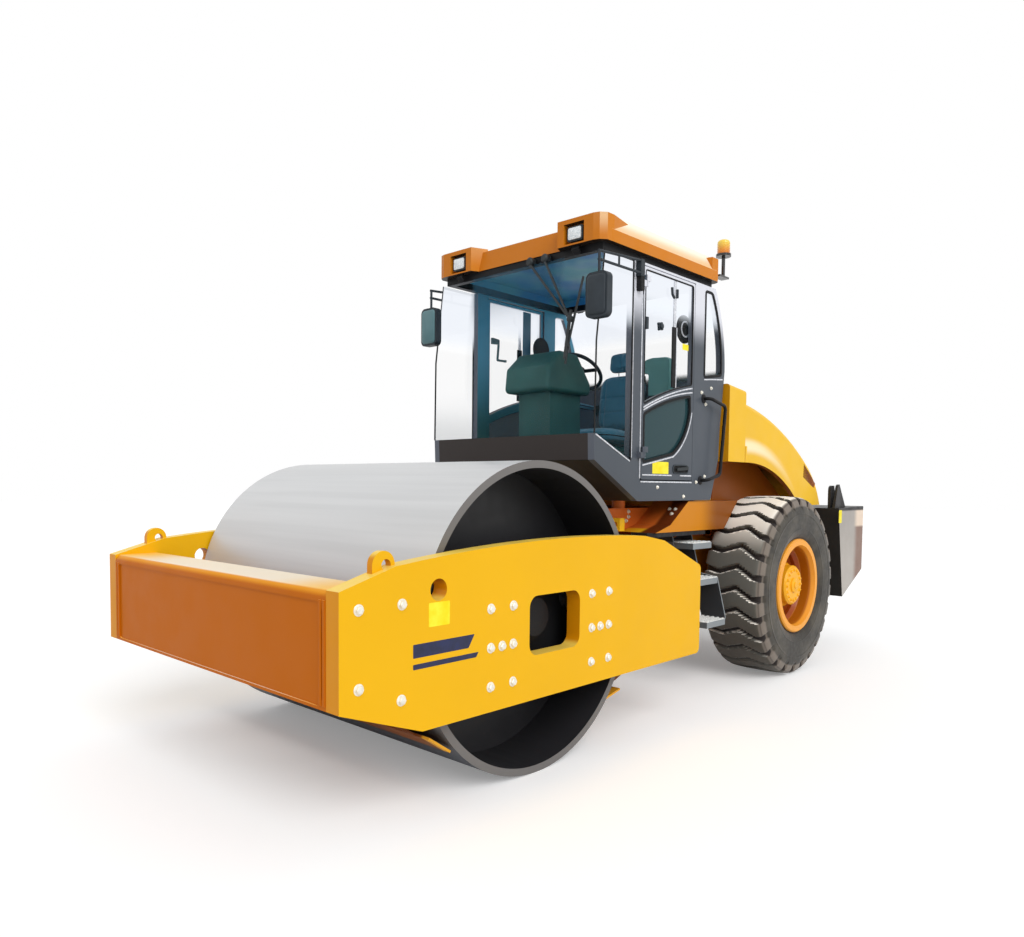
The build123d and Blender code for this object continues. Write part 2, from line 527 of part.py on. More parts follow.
COLLAR_FRONT, COLLAR_REAR = -2640.0, -2925.0
COLLAR_HALF = HOOD_HALF_WIDTH + 30
COLLAR_FRONT_TOP, COLLAR_REAR_TOP = 2390.0, 2359.0
ARCH_TOP = 1770.0
COLLAR_WALL = 20.0
HOOD_HINGE = at(-2960, 2310)
KNUCKLE_INNER, KNUCKLE_SPLIT, KNUCKLE_OUTER = 420.0, 480.0, 540.0
HINGE_R, HINGE_PIN_R = 22.0, 11.0
with BuildPart() as collar:
    side_slab([at(COLLAR_FRONT, ARCH_TOP), at(COLLAR_FRONT, COLLAR_FRONT_TOP),
               at(COLLAR_REAR, COLLAR_REAR_TOP), at(COLLAR_REAR, ARCH_TOP)], (-COLLAR_HALF, COLLAR_HALF))
    fillet(collar.faces().sort_by(Axis.Z)[-1].edges().filter_by(Axis.Y, reverse=True), 30)
    block((DRUM_X + COLLAR_REAR, DRUM_X + COLLAR_FRONT), (-BAY_HALF, BAY_HALF),
          (DECK_HIGH + SEAT_GAP, ARCH_TOP + 1))
    block((DRUM_X + COLLAR_REAR, DRUM_X + COLLAR_FRONT - COLLAR_WALL),
          (-BAY_HALF + COLLAR_WALL, BAY_HALF - COLLAR_WALL),
          (DECK_HIGH + 100, COLLAR_REAR_TOP - 60), Mode.SUBTRACT)
    # fixed half of the hood hinge with its pins
    for sign in (1, -1):
        cross_rod(HOOD_HINGE, (sign * KNUCKLE_INNER, sign * KNUCKLE_SPLIT), HINGE_R)
        cross_rod(HOOD_HINGE, (sign * (KNUCKLE_SPLIT - 10), sign * KNUCKLE_OUTER), HINGE_PIN_R)
        block((HOOD_HINGE[0], DRUM_X + COLLAR_REAR + 5), (sign * KNUCKLE_INNER, sign * KNUCKLE_SPLIT),
              (HOOD_HINGE[1] - 12, HOOD_HINGE[1] + 12))
save(collar, "hood_collar")

FENDER_THICK, FENDER_TOP = 12.0, 1850.0
with BuildPart() as fenders:
    for sign in (1, -1):
        fender_front, fender_rear = COLLAR_REAR - SEAT_GAP, WEIGHT_FRONT + 40
        side_slab([at(fender_front, RAIL_HIGH + SEAT_GAP), at(fender_front, FENDER_TOP),
                   at(AXLE - 300, FENDER_TOP), at(fender_rear, 1400), at(fender_rear, RAIL_HIGH + SEAT_GAP)],
                  between(sign, BAY_HALF, BAY_HALF + FENDER_THICK))
        block((DRUM_X + fender_rear, DRUM_X + fender_front),
              (sign * RAIL_Y, sign * (BAY_HALF + 1)),
              (RAIL_HIGH + SEAT_GAP, RAIL_HIGH + SEAT_GAP + FENDER_THICK))
save(fenders, "inner_fenders")

# ---------------------------------------------------------------- hood
HOOD_FRONT = COLLAR_REAR - MOVING_GAP
HOOD_FRONT_TOP = 2280.0
HOOD_REAR, HOOD_LOW = AXLE - 1330.0, 1400.0
HOOD_SHOULDER_R = 60.0
ARCH_START = AXLE + 300.0
ARCH_R, FLARE_R = 1610.0, 1367.0
FLARE_TOP = 1904.0
FLARE_PROUD = COLLAR_HALF - HOOD_HALF_WIDTH
VENT_DEPTH = 5.0
VENT = ((AXLE - 880, 1790), (AXLE - 1175, 1600), (AXLE - 1130, 1560), (AXLE - 870, 1665))


def arch_point(radius, top, drop_to):
    """Where an arc that starts level at ARCH_START and top comes down to a height."""
    fall = top - drop_to
    return ARCH_START - math.sqrt(radius ** 2 - (radius - fall) ** 2)


def level_arc(radius, top, drop_to):
    """Arc that starts level at ARCH_START and top and curves down rearwards."""
    start = Vector(*at(ARCH_START, top))
    end_station = arch_point(radius, top, drop_to)
    middle = arch_point(radius, top, top - (top - drop_to) / 3)
    return ThreePointArc(start, at(middle, top - (top - drop_to) / 3), at(end_station, drop_to))


with BuildPart() as hood:
    arch_rear = arch_point(ARCH_R, ARCH_TOP, HOOD_LOW)
    with BuildSketch(Plane.XZ.offset(HOOD_HALF_WIDTH), mode=Mode.PRIVATE) as hood_side:
        with BuildLine():
            top = ThreePointArc(at(HOOD_FRONT, HOOD_FRONT_TOP), at(AXLE - 459, 2066), at(AXLE - 1010, 1778))
            TangentArc(top @ 1, at(HOOD_REAR, HOOD_LOW), tangent=top % 1)
            Line(at(HOOD_REAR, HOOD_LOW), at(arch_rear, HOOD_LOW))
            level_arc(ARCH_R, ARCH_TOP, HOOD_LOW)
            Polyline(at(ARCH_START, ARCH_TOP), at(HOOD_FRONT, ARCH_TOP), at(HOOD_FRONT, HOOD_FRONT_TOP))
        make_face()
    extrude(hood_side.sketch, amount=-2 * HOOD_HALF_WIDTH)
    shoulders = [e for e in hood.edges().filter_by(GeomType.CIRCLE) if abs(e.radius - ARCH_R) > 1]
    fillet(shoulders, HOOD_SHOULDER_R)
    below = [f for f in hood.faces() if f.normal_at(f.center()).Z < -0.5]
    front = hood.faces().sort_by(Axis.X)[-1]
    offset(amount=-HOOD_WALL, openings=below + [front])
    for sign in (1, -1):
        # flare round the wheel arch, proud of the side and narrowing to the rear
        low, high = between(sign, HOOD_HALF_WIDTH - 1, HOOD_HALF_WIDTH + FLARE_PROUD)
        with BuildSketch(Plane.XZ.offset(-low), mode=Mode.PRIVATE) as flare:
            with BuildLine():
                level_arc(FLARE_R, FLARE_TOP, HOOD_LOW)
                Line(at(arch_point(FLARE_R, FLARE_TOP, HOOD_LOW), HOOD_LOW), at(arch_rear, HOOD_LOW))
                level_arc(ARCH_R, ARCH_TOP, HOOD_LOW)
                Polyline(at(ARCH_START, ARCH_TOP), at(HOOD_FRONT, ARCH_TOP), at(HOOD_FRONT, FLARE_TOP),
                         at(ARCH_START, FLARE_TOP))
            make_face()
        extrude(flare.sketch, amount=low - high)
        # shallow intake recess near the rear of the side
        side_slab([at(*p) for p in VENT],
                  between(sign, HOOD_HALF_WIDTH - VENT_DEPTH, HOOD_HALF_WIDTH + 1), Mode.SUBTRACT)
        # moving half of the hinge
        cross_rod(HOOD_HINGE, (sign * (KNUCKLE_SPLIT + 0.5), sign * KNUCKLE_OUTER), HINGE_R)
        block((HOOD_HINGE[0] - 60, HOOD_HINGE[0]), (sign * (KNUCKLE_SPLIT + 0.5), sign * KNUCKLE_OUTER),
              (HOOD_HINGE[1] - 55, HOOD_HINGE[1]))
        cross_rod(HOOD_HINGE, (sign * KNUCKLE_SPLIT, sign * (KNUCKLE_OUTER + 1)),
                  HINGE_PIN_R + RUNNING, Mode.SUBTRACT)
save(hood, "hood")

# ---------------------------------------------------------------- counterweight
WEIGHT_REAR = AXLE - REAR_OVERHANG
WEIGHT_HALF = 970.0
WEIGHT_FACE = AXLE - 1245.0
WEIGHT_TOP_FRONT, WEIGHT_TOP_REAR = 1370.0, 1385.0
TONGUES = (
    # y, setback of the tip, its length, setback of the foot, height
    (905.0, 128.0, 15.0, 315.0, 1600.0),
    (860.0, 70.0, 60.0, 190.0, 1588.0),
)
with BuildPart() as weight:
    side_slab([at(WEIGHT_FACE, WEIGHT_TOP_FRONT), at(WEIGHT_REAR, WEIGHT_TOP_REAR), at(WEIGHT_REAR, 745),
               at(WEIGHT_FACE - 150, 505)], (-WEIGHT_HALF, WEIGHT_HALF))
    fillet(weight.edges().filter_by(Axis.Y).group_by(Axis.X)[0], 15)
    side_slab([at(WEIGHT_FRONT, 1300), at(WEIGHT_FACE - 50, 1300), at(WEIGHT_FACE - 150, 620),
               at(WEIGHT_FRONT, 620)], (-RAIL_Y - RAIL_THICK, RAIL_Y + RAIL_THICK))
    for sign in (1, -1):
        for y, tip_back, tip_length, foot_back, height in TONGUES:
            tip = WEIGHT_FACE - tip_back
            side_slab([at(WEIGHT_FACE - 35, WEIGHT_TOP_FRONT - 10), at(tip + 35, height - 40),
                       at(tip + 25, height - 14), at(tip, height), at(tip - tip_length, height),
                       at(WEIGHT_FACE - foot_back, WEIGHT_TOP_FRONT)], between(sign, y - 12, y + 12))
save(weight, "counterweight")

# ================================================================ cab
CAB_FRONT = -905.0
SILL_FRONT = 1907.0
CAB_FLOOR = CAB_LOW + 30
PILLAR_FRONT, PILLAR_REAR = -1314.0, -1433.0
DOOR_REAR, POST_REAR = -2138.0, -2267.0
DOOR_LOW, DOOR_HIGH = 1605.0, 3085.0
DOOR_IN, DOOR_OUT = CAB_HALF_WIDTH - 38, CAB_HALF_WIDTH + 2
DOOR_HINGE = (DRUM_X - 1441, CAB_HALF_WIDTH + 24)
HINGE_HEIGHTS = (1760.0, 2930.0)
HINGE_BARREL_R, DOOR_PIN_R, HINGE_HALF_HEIGHT = 13.0, 6.0, 40.0
leaf_front, leaf_rear = PILLAR_REAR - MOVING_GAP - 4, DOOR_REAR + MOVING_GAP
PANE_Y = CAB_HALF_WIDTH - 18
CAB_INNER_Y = CAB_HALF_WIDTH - CAB_WALL


def cab_outline(y):
    """Cab seen from the side: raked nose, bowed rear edge."""
    with BuildSketch(Plane.XZ.offset(-y), mode=Mode.PRIVATE) as outline:
        with BuildLine():
            Polyline(at(-2440, CAB_TOP), at(-985, CAB_TOP), at(CAB_FRONT, 2500),
                     at(CAB_FRONT + 7, SILL_FRONT), at(CAB_FRONT, 1735), at(-1410, CAB_LOW),
                     at(-2430, CAB_LOW), at(-2540, 1790),
                     at(-2550, 2010), at(-2612, 2480))
            ThreePointArc(at(-2612, 2480), at(-2570, 2795), at(-2440, CAB_TOP))
        make_face()
    return outline.sketch


def upper_window(y):
    """Door's upper window over its bowed rail."""
    with BuildSketch(Plane.XZ.offset(-y), mode=Mode.PRIVATE) as window:
        with BuildLine():
            ThreePointArc(at(leaf_front - 20, 2138), at(-1781, 2252), at(leaf_rear + 25, 2326))
            Polyline(at(leaf_rear + 25, 2326), at(leaf_rear + 25, DOOR_HIGH - 30),
                     at(leaf_front - 20, DOOR_HIGH - 30), at(leaf_front - 20, 2138))
        make_face()
    return window.sketch


def lower_window(y):
    """Door's lower window: bowed head, swept rear corner, falling sill."""
    with BuildSketch(Plane.XZ.offset(-y), mode=Mode.PRIVATE) as window:
        with BuildLine():
            ThreePointArc(at(leaf_front - 20, 2070), at(-1783, 2184), at(-2088, 2243))
            Line(at(-2088, 2243), at(-2095, 2127))
            ThreePointArc(at(-2095, 2127), at(-2016, 1940), at(-1852, 1800))
            Polyline(at(-1852, 1800), at(leaf_front - 20, 1730), at(leaf_front - 20, 2070))
        make_face()
    return window.sketch


def quarter_window(y):
    """Window behind the door, its rear edge following the cab's."""
    with BuildSketch(Plane.XZ.offset(-y), mode=Mode.PRIVATE) as window:
        with BuildLine():
            Polyline(at(-2400, 3060), at(POST_REAR - 20, 3060), at(POST_REAR - 20, 2400), at(-2560, 2440))
            ThreePointArc(at(-2560, 2440), at(-2520, 2790), at(-2400, 3060))
        make_face()
        fillet(window.vertices(), 25)
    return window.sketch


def slice_of(make_sketch, y_range, mode=Mode.ADD):
    """Slab of a side-view sketch over a stretch of y."""
    extrude(make_sketch(y_range[0]), amount=y_range[0] - y_range[1], mode=mode)


for side, sign in SIDES:
    wall = between(sign, CAB_INNER_Y, CAB_HALF_WIDTH)
    leaf = between(sign, DOOR_IN, DOOR_OUT)
    hinge_x, hinge_y = DOOR_HINGE[0], sign * DOOR_HINGE[1]
    with BuildPart() as cab_side:
        slice_of(cab_outline, wall)
        # corner glass opening, open to the front
        side_slab([at(CAB_FRONT + 105, 1945), at(CAB_FRONT + 7, SILL_FRONT), at(PILLAR_FRONT, 1738),
                   at(PILLAR_FRONT, 3200), at(CAB_FRONT + 105, 3200)], wall, Mode.SUBTRACT)
        side_slab([at(PILLAR_REAR, DOOR_LOW), at(DOOR_REAR, DOOR_LOW), at(DOOR_REAR, DOOR_HIGH),
                   at(PILLAR_REAR, DOOR_HIGH)], wall, Mode.SUBTRACT)
        slice_of(quarter_window, wall, Mode.SUBTRACT)
        for z in HINGE_HEIGHTS:
            top = z + HINGE_HALF_HEIGHT
            rod((hinge_x, hinge_y, z), (hinge_x, hinge_y, top), HINGE_BARREL_R)
            rod((hinge_x, hinge_y, z), (hinge_x, hinge_y, top + HINGE_HALF_HEIGHT), DOOR_PIN_R)
            block((hinge_x, DRUM_X + PILLAR_REAR + 40), (sign * (CAB_HALF_WIDTH - 2),
                  sign * (CAB_HALF_WIDTH + 32)), (z, top))
    save(cab_side, f"cab_side_{side}")
    with BuildPart() as door:
        side_slab([at(leaf_front, DOOR_LOW + MOVING_GAP), at(leaf_rear, DOOR_LOW + MOVING_GAP),
                   at(leaf_rear, DOOR_HIGH - MOVING_GAP), at(leaf_front, DOOR_HIGH - MOVING_GAP)], leaf,
                  radius=12)
        slice_of(upper_window, leaf, Mode.SUBTRACT)
        slice_of(lower_window, leaf, Mode.SUBTRACT)
        for z in HINGE_HEIGHTS:
            low, high = z + HINGE_HALF_HEIGHT + 0.5, z + 2 * HINGE_HALF_HEIGHT
            rod((hinge_x, hinge_y, low), (hinge_x, hinge_y, high), HINGE_BARREL_R)
            block((hinge_x - 45, hinge_x),
                  (sign * (CAB_HALF_WIDTH + 1), sign * (CAB_HALF_WIDTH + 30)), (low, high))
            rod((hinge_x, hinge_y, low - 0.5), (hinge_x, hinge_y, high + 1),
                DOOR_PIN_R + RUNNING, Mode.SUBTRACT)
    save(door, f"door_{side}")
    with BuildPart() as pane:
        slice_of(upper_window, (sign * PANE_Y - GLASS / 2, sign * PANE_Y + GLASS / 2))
        slice_of(lower_window, (sign * PANE_Y - GLASS / 2, sign * PANE_Y + GLASS / 2))
    save(pane, f"door_glass_{side}")

across = (-CAB_INNER_Y, CAB_INNER_Y)
with BuildPart() as front_panel:
    side_slab([at(CAB_FRONT, 1735), at(CAB_FRONT + 7, SILL_FRONT), at(CAB_FRONT - 45, SILL_FRONT),
               at(CAB_FRONT - 52, 1760)], across)
save(front_panel, "cab_front_panel")
with BuildPart() as floor:
    side_slab([at(CAB_FRONT - 52, 1735), at(-1410, CAB_LOW), at(-2430, CAB_LOW), at(-2430, CAB_FLOOR),
               at(-1420, CAB_FLOOR), at(CAB_FRONT - 52, 1760)], across)
save(floor, "cab_floor")
with BuildPart() as rear_panel:
    side_slab([at(-2430, CAB_LOW), at(-2540, 1790), at(-2550, 2010), at(-2604, 2420), at(-2564, 2420),
               at(-2510, 2010), at(-2500, 1800), at(-2430, CAB_LOW + 90)], across)
save(rear_panel, "cab_rear_panel")

# ---------------------------------------------------------------- roof
HEADER = 50.0
HEADER_FRONT, HEADER_REAR = -1000.0, -2420.0
HEADER_HALF, HEADER_WIDTH = CAB_HALF_WIDTH - 25, 50.0
ROOF_LOW = CAB_TOP + HEADER
ROOF_FRONT, ROOF_REAR = -990.0, -2476.0
ROOF_HALF = CAB_HALF_WIDTH + 20
ROOF_BAND, ROOF_BROW, ROOF_HIGH = 78.0, 3294.0, 3345.0
ROOF_INSET, BROW_RAKE, CROWN_SETBACK = 62.0, 30.0, 210.0
ROOF_CORNER_R = 60.0
POD_FRONT = -932.0
POD_INNER, POD_OUTER = ROOF_HALF - 385, ROOF_HALF - 1
POD_HIGH, LIP_HIGH = 3322.0, 3322.0
LAMP_Y, LAMP_Z = CAB_HALF_WIDTH - 215, ROOF_LOW + 76
LAMP_WIDTH, LAMP_HEIGHT, LAMP_DEPTH = 128.0, 96.0, 42.0
POCKET_HALF_WIDTH, POCKET_HALF_HEIGHT, POCKET_DEPTH = 84.0, 66.0, 55.0
with BuildPart() as header:
    block((DRUM_X + HEADER_REAR, DRUM_X + HEADER_FRONT), (-HEADER_HALF, HEADER_HALF), (CAB_TOP, ROOF_LOW))
    block((DRUM_X + HEADER_REAR + HEADER_WIDTH, DRUM_X + HEADER_FRONT - HEADER_WIDTH),
          (HEADER_WIDTH - HEADER_HALF, HEADER_HALF - HEADER_WIDTH), (CAB_TOP, ROOF_LOW), Mode.SUBTRACT)
save(header, "roof_frame")


with BuildPart() as roof:
    # plan, side view and front view of the roof, cut from one block
    with BuildSketch(Plane.XY.offset(ROOF_LOW), mode=Mode.PRIVATE) as roof_plan:
        with Locations((DRUM_X + (ROOF_FRONT + ROOF_REAR) / 2, 0)):
            RectangleRounded(ROOF_FRONT - ROOF_REAR, 2 * ROOF_HALF, ROOF_CORNER_R)
    extrude(roof_plan.sketch, amount=ROOF_HIGH - ROOF_LOW)
    side_slab([at(ROOF_FRONT, ROOF_LOW), at(ROOF_FRONT - BROW_RAKE, ROOF_BROW),
               at(ROOF_FRONT - CROWN_SETBACK, ROOF_HIGH), at(ROOF_REAR + ROOF_INSET, ROOF_HIGH),
               at(ROOF_REAR, ROOF_LOW + ROOF_BAND), at(ROOF_REAR, ROOF_LOW)],
              (-ROOF_HALF, ROOF_HALF), Mode.INTERSECT)
    with BuildSketch(Plane.YZ.offset(DRUM_X + ROOF_REAR), mode=Mode.PRIVATE) as roof_front_view:
        with BuildLine():
            Polyline((-ROOF_HALF, ROOF_LOW), (-ROOF_HALF, ROOF_LOW + ROOF_BAND),
                     (ROOF_INSET - ROOF_HALF, ROOF_HIGH), (ROOF_HALF - ROOF_INSET, ROOF_HIGH),
                     (ROOF_HALF, ROOF_LOW + ROOF_BAND), (ROOF_HALF, ROOF_LOW), close=True)
        make_face()
    extrude(roof_front_view.sketch, amount=ROOF_FRONT - ROOF_REAR, mode=Mode.INTERSECT)
    for sign in (1, -1):
        # front pod running out into the side, and the raised rear corner
        plan_slab([(DRUM_X + x, sign * y) for x, y in
                   ((POD_FRONT, POD_INNER + 12), (POD_FRONT, POD_OUTER - 75),
                    (POD_FRONT - 14, POD_OUTER - 34), (POD_FRONT - 55, POD_OUTER), (-1060, POD_OUTER),
                    (-1340, POD_OUTER - 60), (-1340, POD_OUTER - 150), (-1060, POD_INNER - 40))],
                  (ROOF_LOW, POD_HIGH))
        plan_slab([(DRUM_X + x, sign * y) for x, y in
                   ((ROOF_REAR, POD_INNER), (ROOF_REAR, POD_OUTER - 40), (ROOF_REAR + 40, POD_OUTER),
                    (ROOF_REAR + 130, POD_OUTER), (ROOF_REAR + 200, POD_INNER))],
                  (ROOF_LOW + 10, LIP_HIGH))
    for sign in (1, -1):
        y_range = between(sign, LAMP_Y - POCKET_HALF_WIDTH, LAMP_Y + POCKET_HALF_WIDTH)
        z_range = (LAMP_Z - POCKET_HALF_HEIGHT, LAMP_Z + POCKET_HALF_HEIGHT)
        block((DRUM_X + POD_FRONT - POCKET_DEPTH, DRUM_X + POD_FRONT + 1), y_range, z_range, Mode.SUBTRACT)
        block((DRUM_X + ROOF_REAR - 1, DRUM_X + ROOF_REAR + POCKET_DEPTH), y_range, z_range, Mode.SUBTRACT)
    # headroom over the cab
    block((DRUM_X + HEADER_REAR + HEADER_WIDTH, DRUM_X + HEADER_FRONT - HEADER_WIDTH),
          (HEADER_WIDTH - HEADER_HALF, HEADER_HALF - HEADER_WIDTH),
          (ROOF_LOW, ROOF_LOW + ROOF_BAND - 20), Mode.SUBTRACT)
save(roof, "roof")

with BuildPart() as lamps:
    for sign in (1, -1):
        for back, outward in ((POD_FRONT - POCKET_DEPTH, 1), (ROOF_REAR + POCKET_DEPTH, -1)):
            x = DRUM_X + back + outward * SEAT_GAP
            with BuildSketch(Plane.YZ.offset(x), mode=Mode.PRIVATE) as lamp:
                with Locations((sign * LAMP_Y, LAMP_Z)):
                    RectangleRounded(LAMP_WIDTH, LAMP_HEIGHT, 14)
            extrude(lamp.sketch, amount=outward * LAMP_DEPTH)
save(lamps, "work_lamps")

# ---------------------------------------------------------------- fixed glass
screen_half = CAB_HALF_WIDTH - GLASS - 2
with BuildPart() as screen:
    side_slab([at(CAB_FRONT + 7, SILL_FRONT), at(CAB_FRONT, 2500), at(-980, 3098), at(-986, 3098),
               at(CAB_FRONT - GLASS, 2500), at(CAB_FRONT + 1, SILL_FRONT)], (-screen_half, screen_half))
save(screen, "windscreen")
with BuildPart() as corner_glass:
    for sign in (1, -1):
        side_slab([at(CAB_FRONT + 7, SILL_FRONT), at(CAB_FRONT, 2500), at(-985, 3098), at(PILLAR_FRONT, 3098),
                   at(PILLAR_FRONT, 1738)], between(sign, CAB_HALF_WIDTH - GLASS, CAB_HALF_WIDTH))
save(corner_glass, "corner_glass")
with BuildPart() as quarter_glass:
    for sign in (1, -1):
        slice_of(quarter_window, (sign * PANE_Y - GLASS / 2, sign * PANE_Y + GLASS / 2))
save(quarter_glass, "quarter_glass")
with BuildPart() as rear_glass:
    side_slab([at(-2602, 2421), at(-2568, 2795), at(-2438, 3098), at(-2444, 3098), at(-2574, 2795),
               at(-2608, 2421)], across)
save(rear_glass, "rear_glass")

# ---------------------------------------------------------------- operator's place
SEAT_FRONT, SEAT_BACK = -1820.0, -2250.0
CUSHION_LOW, CUSHION_HIGH = 1890.0, 2020.0
SEAT_HALF = 245.0
with BuildPart() as seat_base:
    block((DRUM_X + SEAT_BACK + 60, DRUM_X + SEAT_FRONT - 60), (-170, 170),
          (CAB_FLOOR, CUSHION_LOW - SEAT_GAP))
    chamfer(seat_base.faces().sort_by(Axis.Z)[-1].edges(), 30)
save(seat_base, "seat_base")
with BuildPart() as seat:
    side_slab([at(SEAT_FRONT, CUSHION_LOW + 30), at(SEAT_FRONT + 15, CUSHION_HIGH),
               at(SEAT_BACK + 30, CUSHION_HIGH - 20),
               at(SEAT_BACK - 20, 2480), at(SEAT_BACK - 40, 2660), at(SEAT_BACK - 110, 2660),
               at(SEAT_BACK - 120, 2200), at(SEAT_BACK - 60, CUSHION_LOW), at(SEAT_FRONT - 40, CUSHION_LOW)],
              (-SEAT_HALF, SEAT_HALF))
    # headrest narrower than the back
    for sign in (1, -1):
        block((DRUM_X + SEAT_BACK - 130, DRUM_X + SEAT_BACK), between(sign, 140, SEAT_HALF + 1), (2500, 2700),
              Mode.SUBTRACT)
    fillet(seat.edges().filter_by(Axis.Y), 12)
save(seat, "seat")

CONSOLE_FRONT, CONSOLE_REAR = -1080.0, -1600.0
BINNACLE_LOW, BINNACLE_HIGH, BINNACLE_HALF = 2240.0, 2540.0, 210.0
WHEEL_R, WHEEL_TUBE_R, WHEEL_TILT = 180.0, 14.0, 40.0
WHEEL_HUB_R, WHEEL_HUB_HALF = 38.0, 25.0
COLUMN_R, COLUMN_LENGTH = 24.0, 190.0
tilt = math.radians(WHEEL_TILT)
wheel_axis = Vector(-math.sin(tilt), 0, math.cos(tilt))
wheel_centre = Vector(DRUM_X - 1725, 0, 2455)
column_top = wheel_centre - wheel_axis * (WHEEL_HUB_HALF + SEAT_GAP)
with BuildPart() as console:
    side_slab([at(-1426, CAB_FLOOR + SEAT_GAP), at(-1560, CAB_FLOOR + SEAT_GAP), at(-1540, BINNACLE_LOW + 20),
               at(-1190, BINNACLE_LOW + 20), at(-1190, 1900)], (-150, 150))
    side_slab([at(CONSOLE_FRONT, BINNACLE_LOW), at(CONSOLE_REAR, BINNACLE_LOW),
               at(CONSOLE_REAR, BINNACLE_LOW + 90), at(-1440, BINNACLE_HIGH - 10),
               at(-1240, BINNACLE_HIGH), at(CONSOLE_FRONT - 20, BINNACLE_HIGH - 120)],
              (-BINNACLE_HALF, BINNACLE_HALF), radius=35)
    fillet(console.faces().filter_by(Axis.Y).group_by(Axis.Y)[-1].edges() +
           console.faces().filter_by(Axis.Y).group_by(Axis.Y)[0].edges(), 30)
    rod(tuple(column_top - wheel_axis * COLUMN_LENGTH), tuple(column_top), COLUMN_R)
save(console, "steering_console")

with BuildPart(Plane(origin=wheel_centre, x_dir=(0, 1, 0), z_dir=wheel_axis)) as steering_wheel:
    Torus(WHEEL_R, WHEEL_TUBE_R)
    with PolarLocations(WHEEL_R / 2, 3):
        Box(WHEEL_R, 26, 12)
    Cylinder(WHEEL_HUB_R, 2 * WHEEL_HUB_HALF)
save(steering_wheel, "steering_wheel")

# ---------------------------------------------------------------- beacon, mirrors, grab rails
BEACON = (DRUM_X - 2560, CAB_HALF_WIDTH - 5)
BRACKET_PLATE_Z = 3205.0
with BuildPart() as beacon:
    block((BEACON[0] - 60, DRUM_X + ROOF_REAR - SEAT_GAP), (BEACON[1] - 45, BEACON[1] + 20),
          (BRACKET_PLATE_Z, BRACKET_PLATE_Z + 14))
    rod((*BEACON, BRACKET_PLATE_Z), (*BEACON, 3380), 14)
    rod((*BEACON, 3370), (*BEACON, 3390), 58)
    rod((*BEACON, 3385), (*BEACON, 3500), 48)
    fillet(beacon.faces().sort_by(Axis.Z)[-1].edges(), 25)
save(beacon, "beacon")

MIRROR = (DRUM_X - 885, CAB_HALF_WIDTH + 32)
MIRROR_LOW, MIRROR_HIGH, MIRROR_HALF, MIRROR_DEPTH = 2632.0, 2918.0, 85.0, 56.0
ARM_R = 9.0
with BuildPart() as mirrors:
    for sign in (1, -1):
        with BuildSketch(Plane.YZ.offset(MIRROR[0] - MIRROR_DEPTH / 2), mode=Mode.PRIVATE) as head:
            with Locations((sign * MIRROR[1], (MIRROR_LOW + MIRROR_HIGH) / 2)):
                RectangleRounded(2 * MIRROR_HALF, MIRROR_HIGH - MIRROR_LOW, 40)
        extrude(head.sketch, amount=MIRROR_DEPTH)
        y = sign * MIRROR[1]
        root_x = DRUM_X - 1374
        rod((MIRROR[0], y, MIRROR_HIGH - 20), (MIRROR[0], y, 3062), ARM_R)
        rod((MIRROR[0] + ARM_R, y, 3055), (root_x, y, 3090), ARM_R)
        rod((MIRROR[0] + ARM_R, y, 3000), (root_x, y, 3005), ARM_R)
        rod((DRUM_X - 1100, y, 3004), (DRUM_X - 1100, y, 3070), ARM_R - 2)
        block((root_x - 10, root_x + 30),
              (sign * (CAB_HALF_WIDTH + SEAT_GAP), sign * (MIRROR[1] + 10)), (2985, 3098))
save(mirrors, "mirrors")

RAIL_STANDOFF = CAB_HALF_WIDTH + 62
RAIL_FOOT_Y = CAB_HALF_WIDTH + SEAT_GAP
GRAB_R, GRAB_BEND_R = 13.0, 38.0
with BuildPart() as grab_rails:
    with BuildLine() as bend:
        FilletPolyline((DRUM_X - 2290, RAIL_FOOT_Y, 2240), (DRUM_X - 2290, RAIL_STANDOFF, 2240),
                       (DRUM_X - 2525, RAIL_STANDOFF, 2195), (DRUM_X - 2455, RAIL_STANDOFF, 1660),
                       (DRUM_X - 2262, RAIL_STANDOFF, 1615),
                       (DRUM_X - 2262, RAIL_FOOT_Y, 1615), radius=GRAB_BEND_R)
    with BuildSketch(Plane(origin=bend.line @ 0, z_dir=bend.line % 0)):
        Circle(GRAB_R)
    sweep()
    mirror(about=Plane.XZ)
save(grab_rails, "grab_rails")
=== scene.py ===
import math

import bmesh
import bpy
import numpy as np
from mathutils import Matrix, Vector


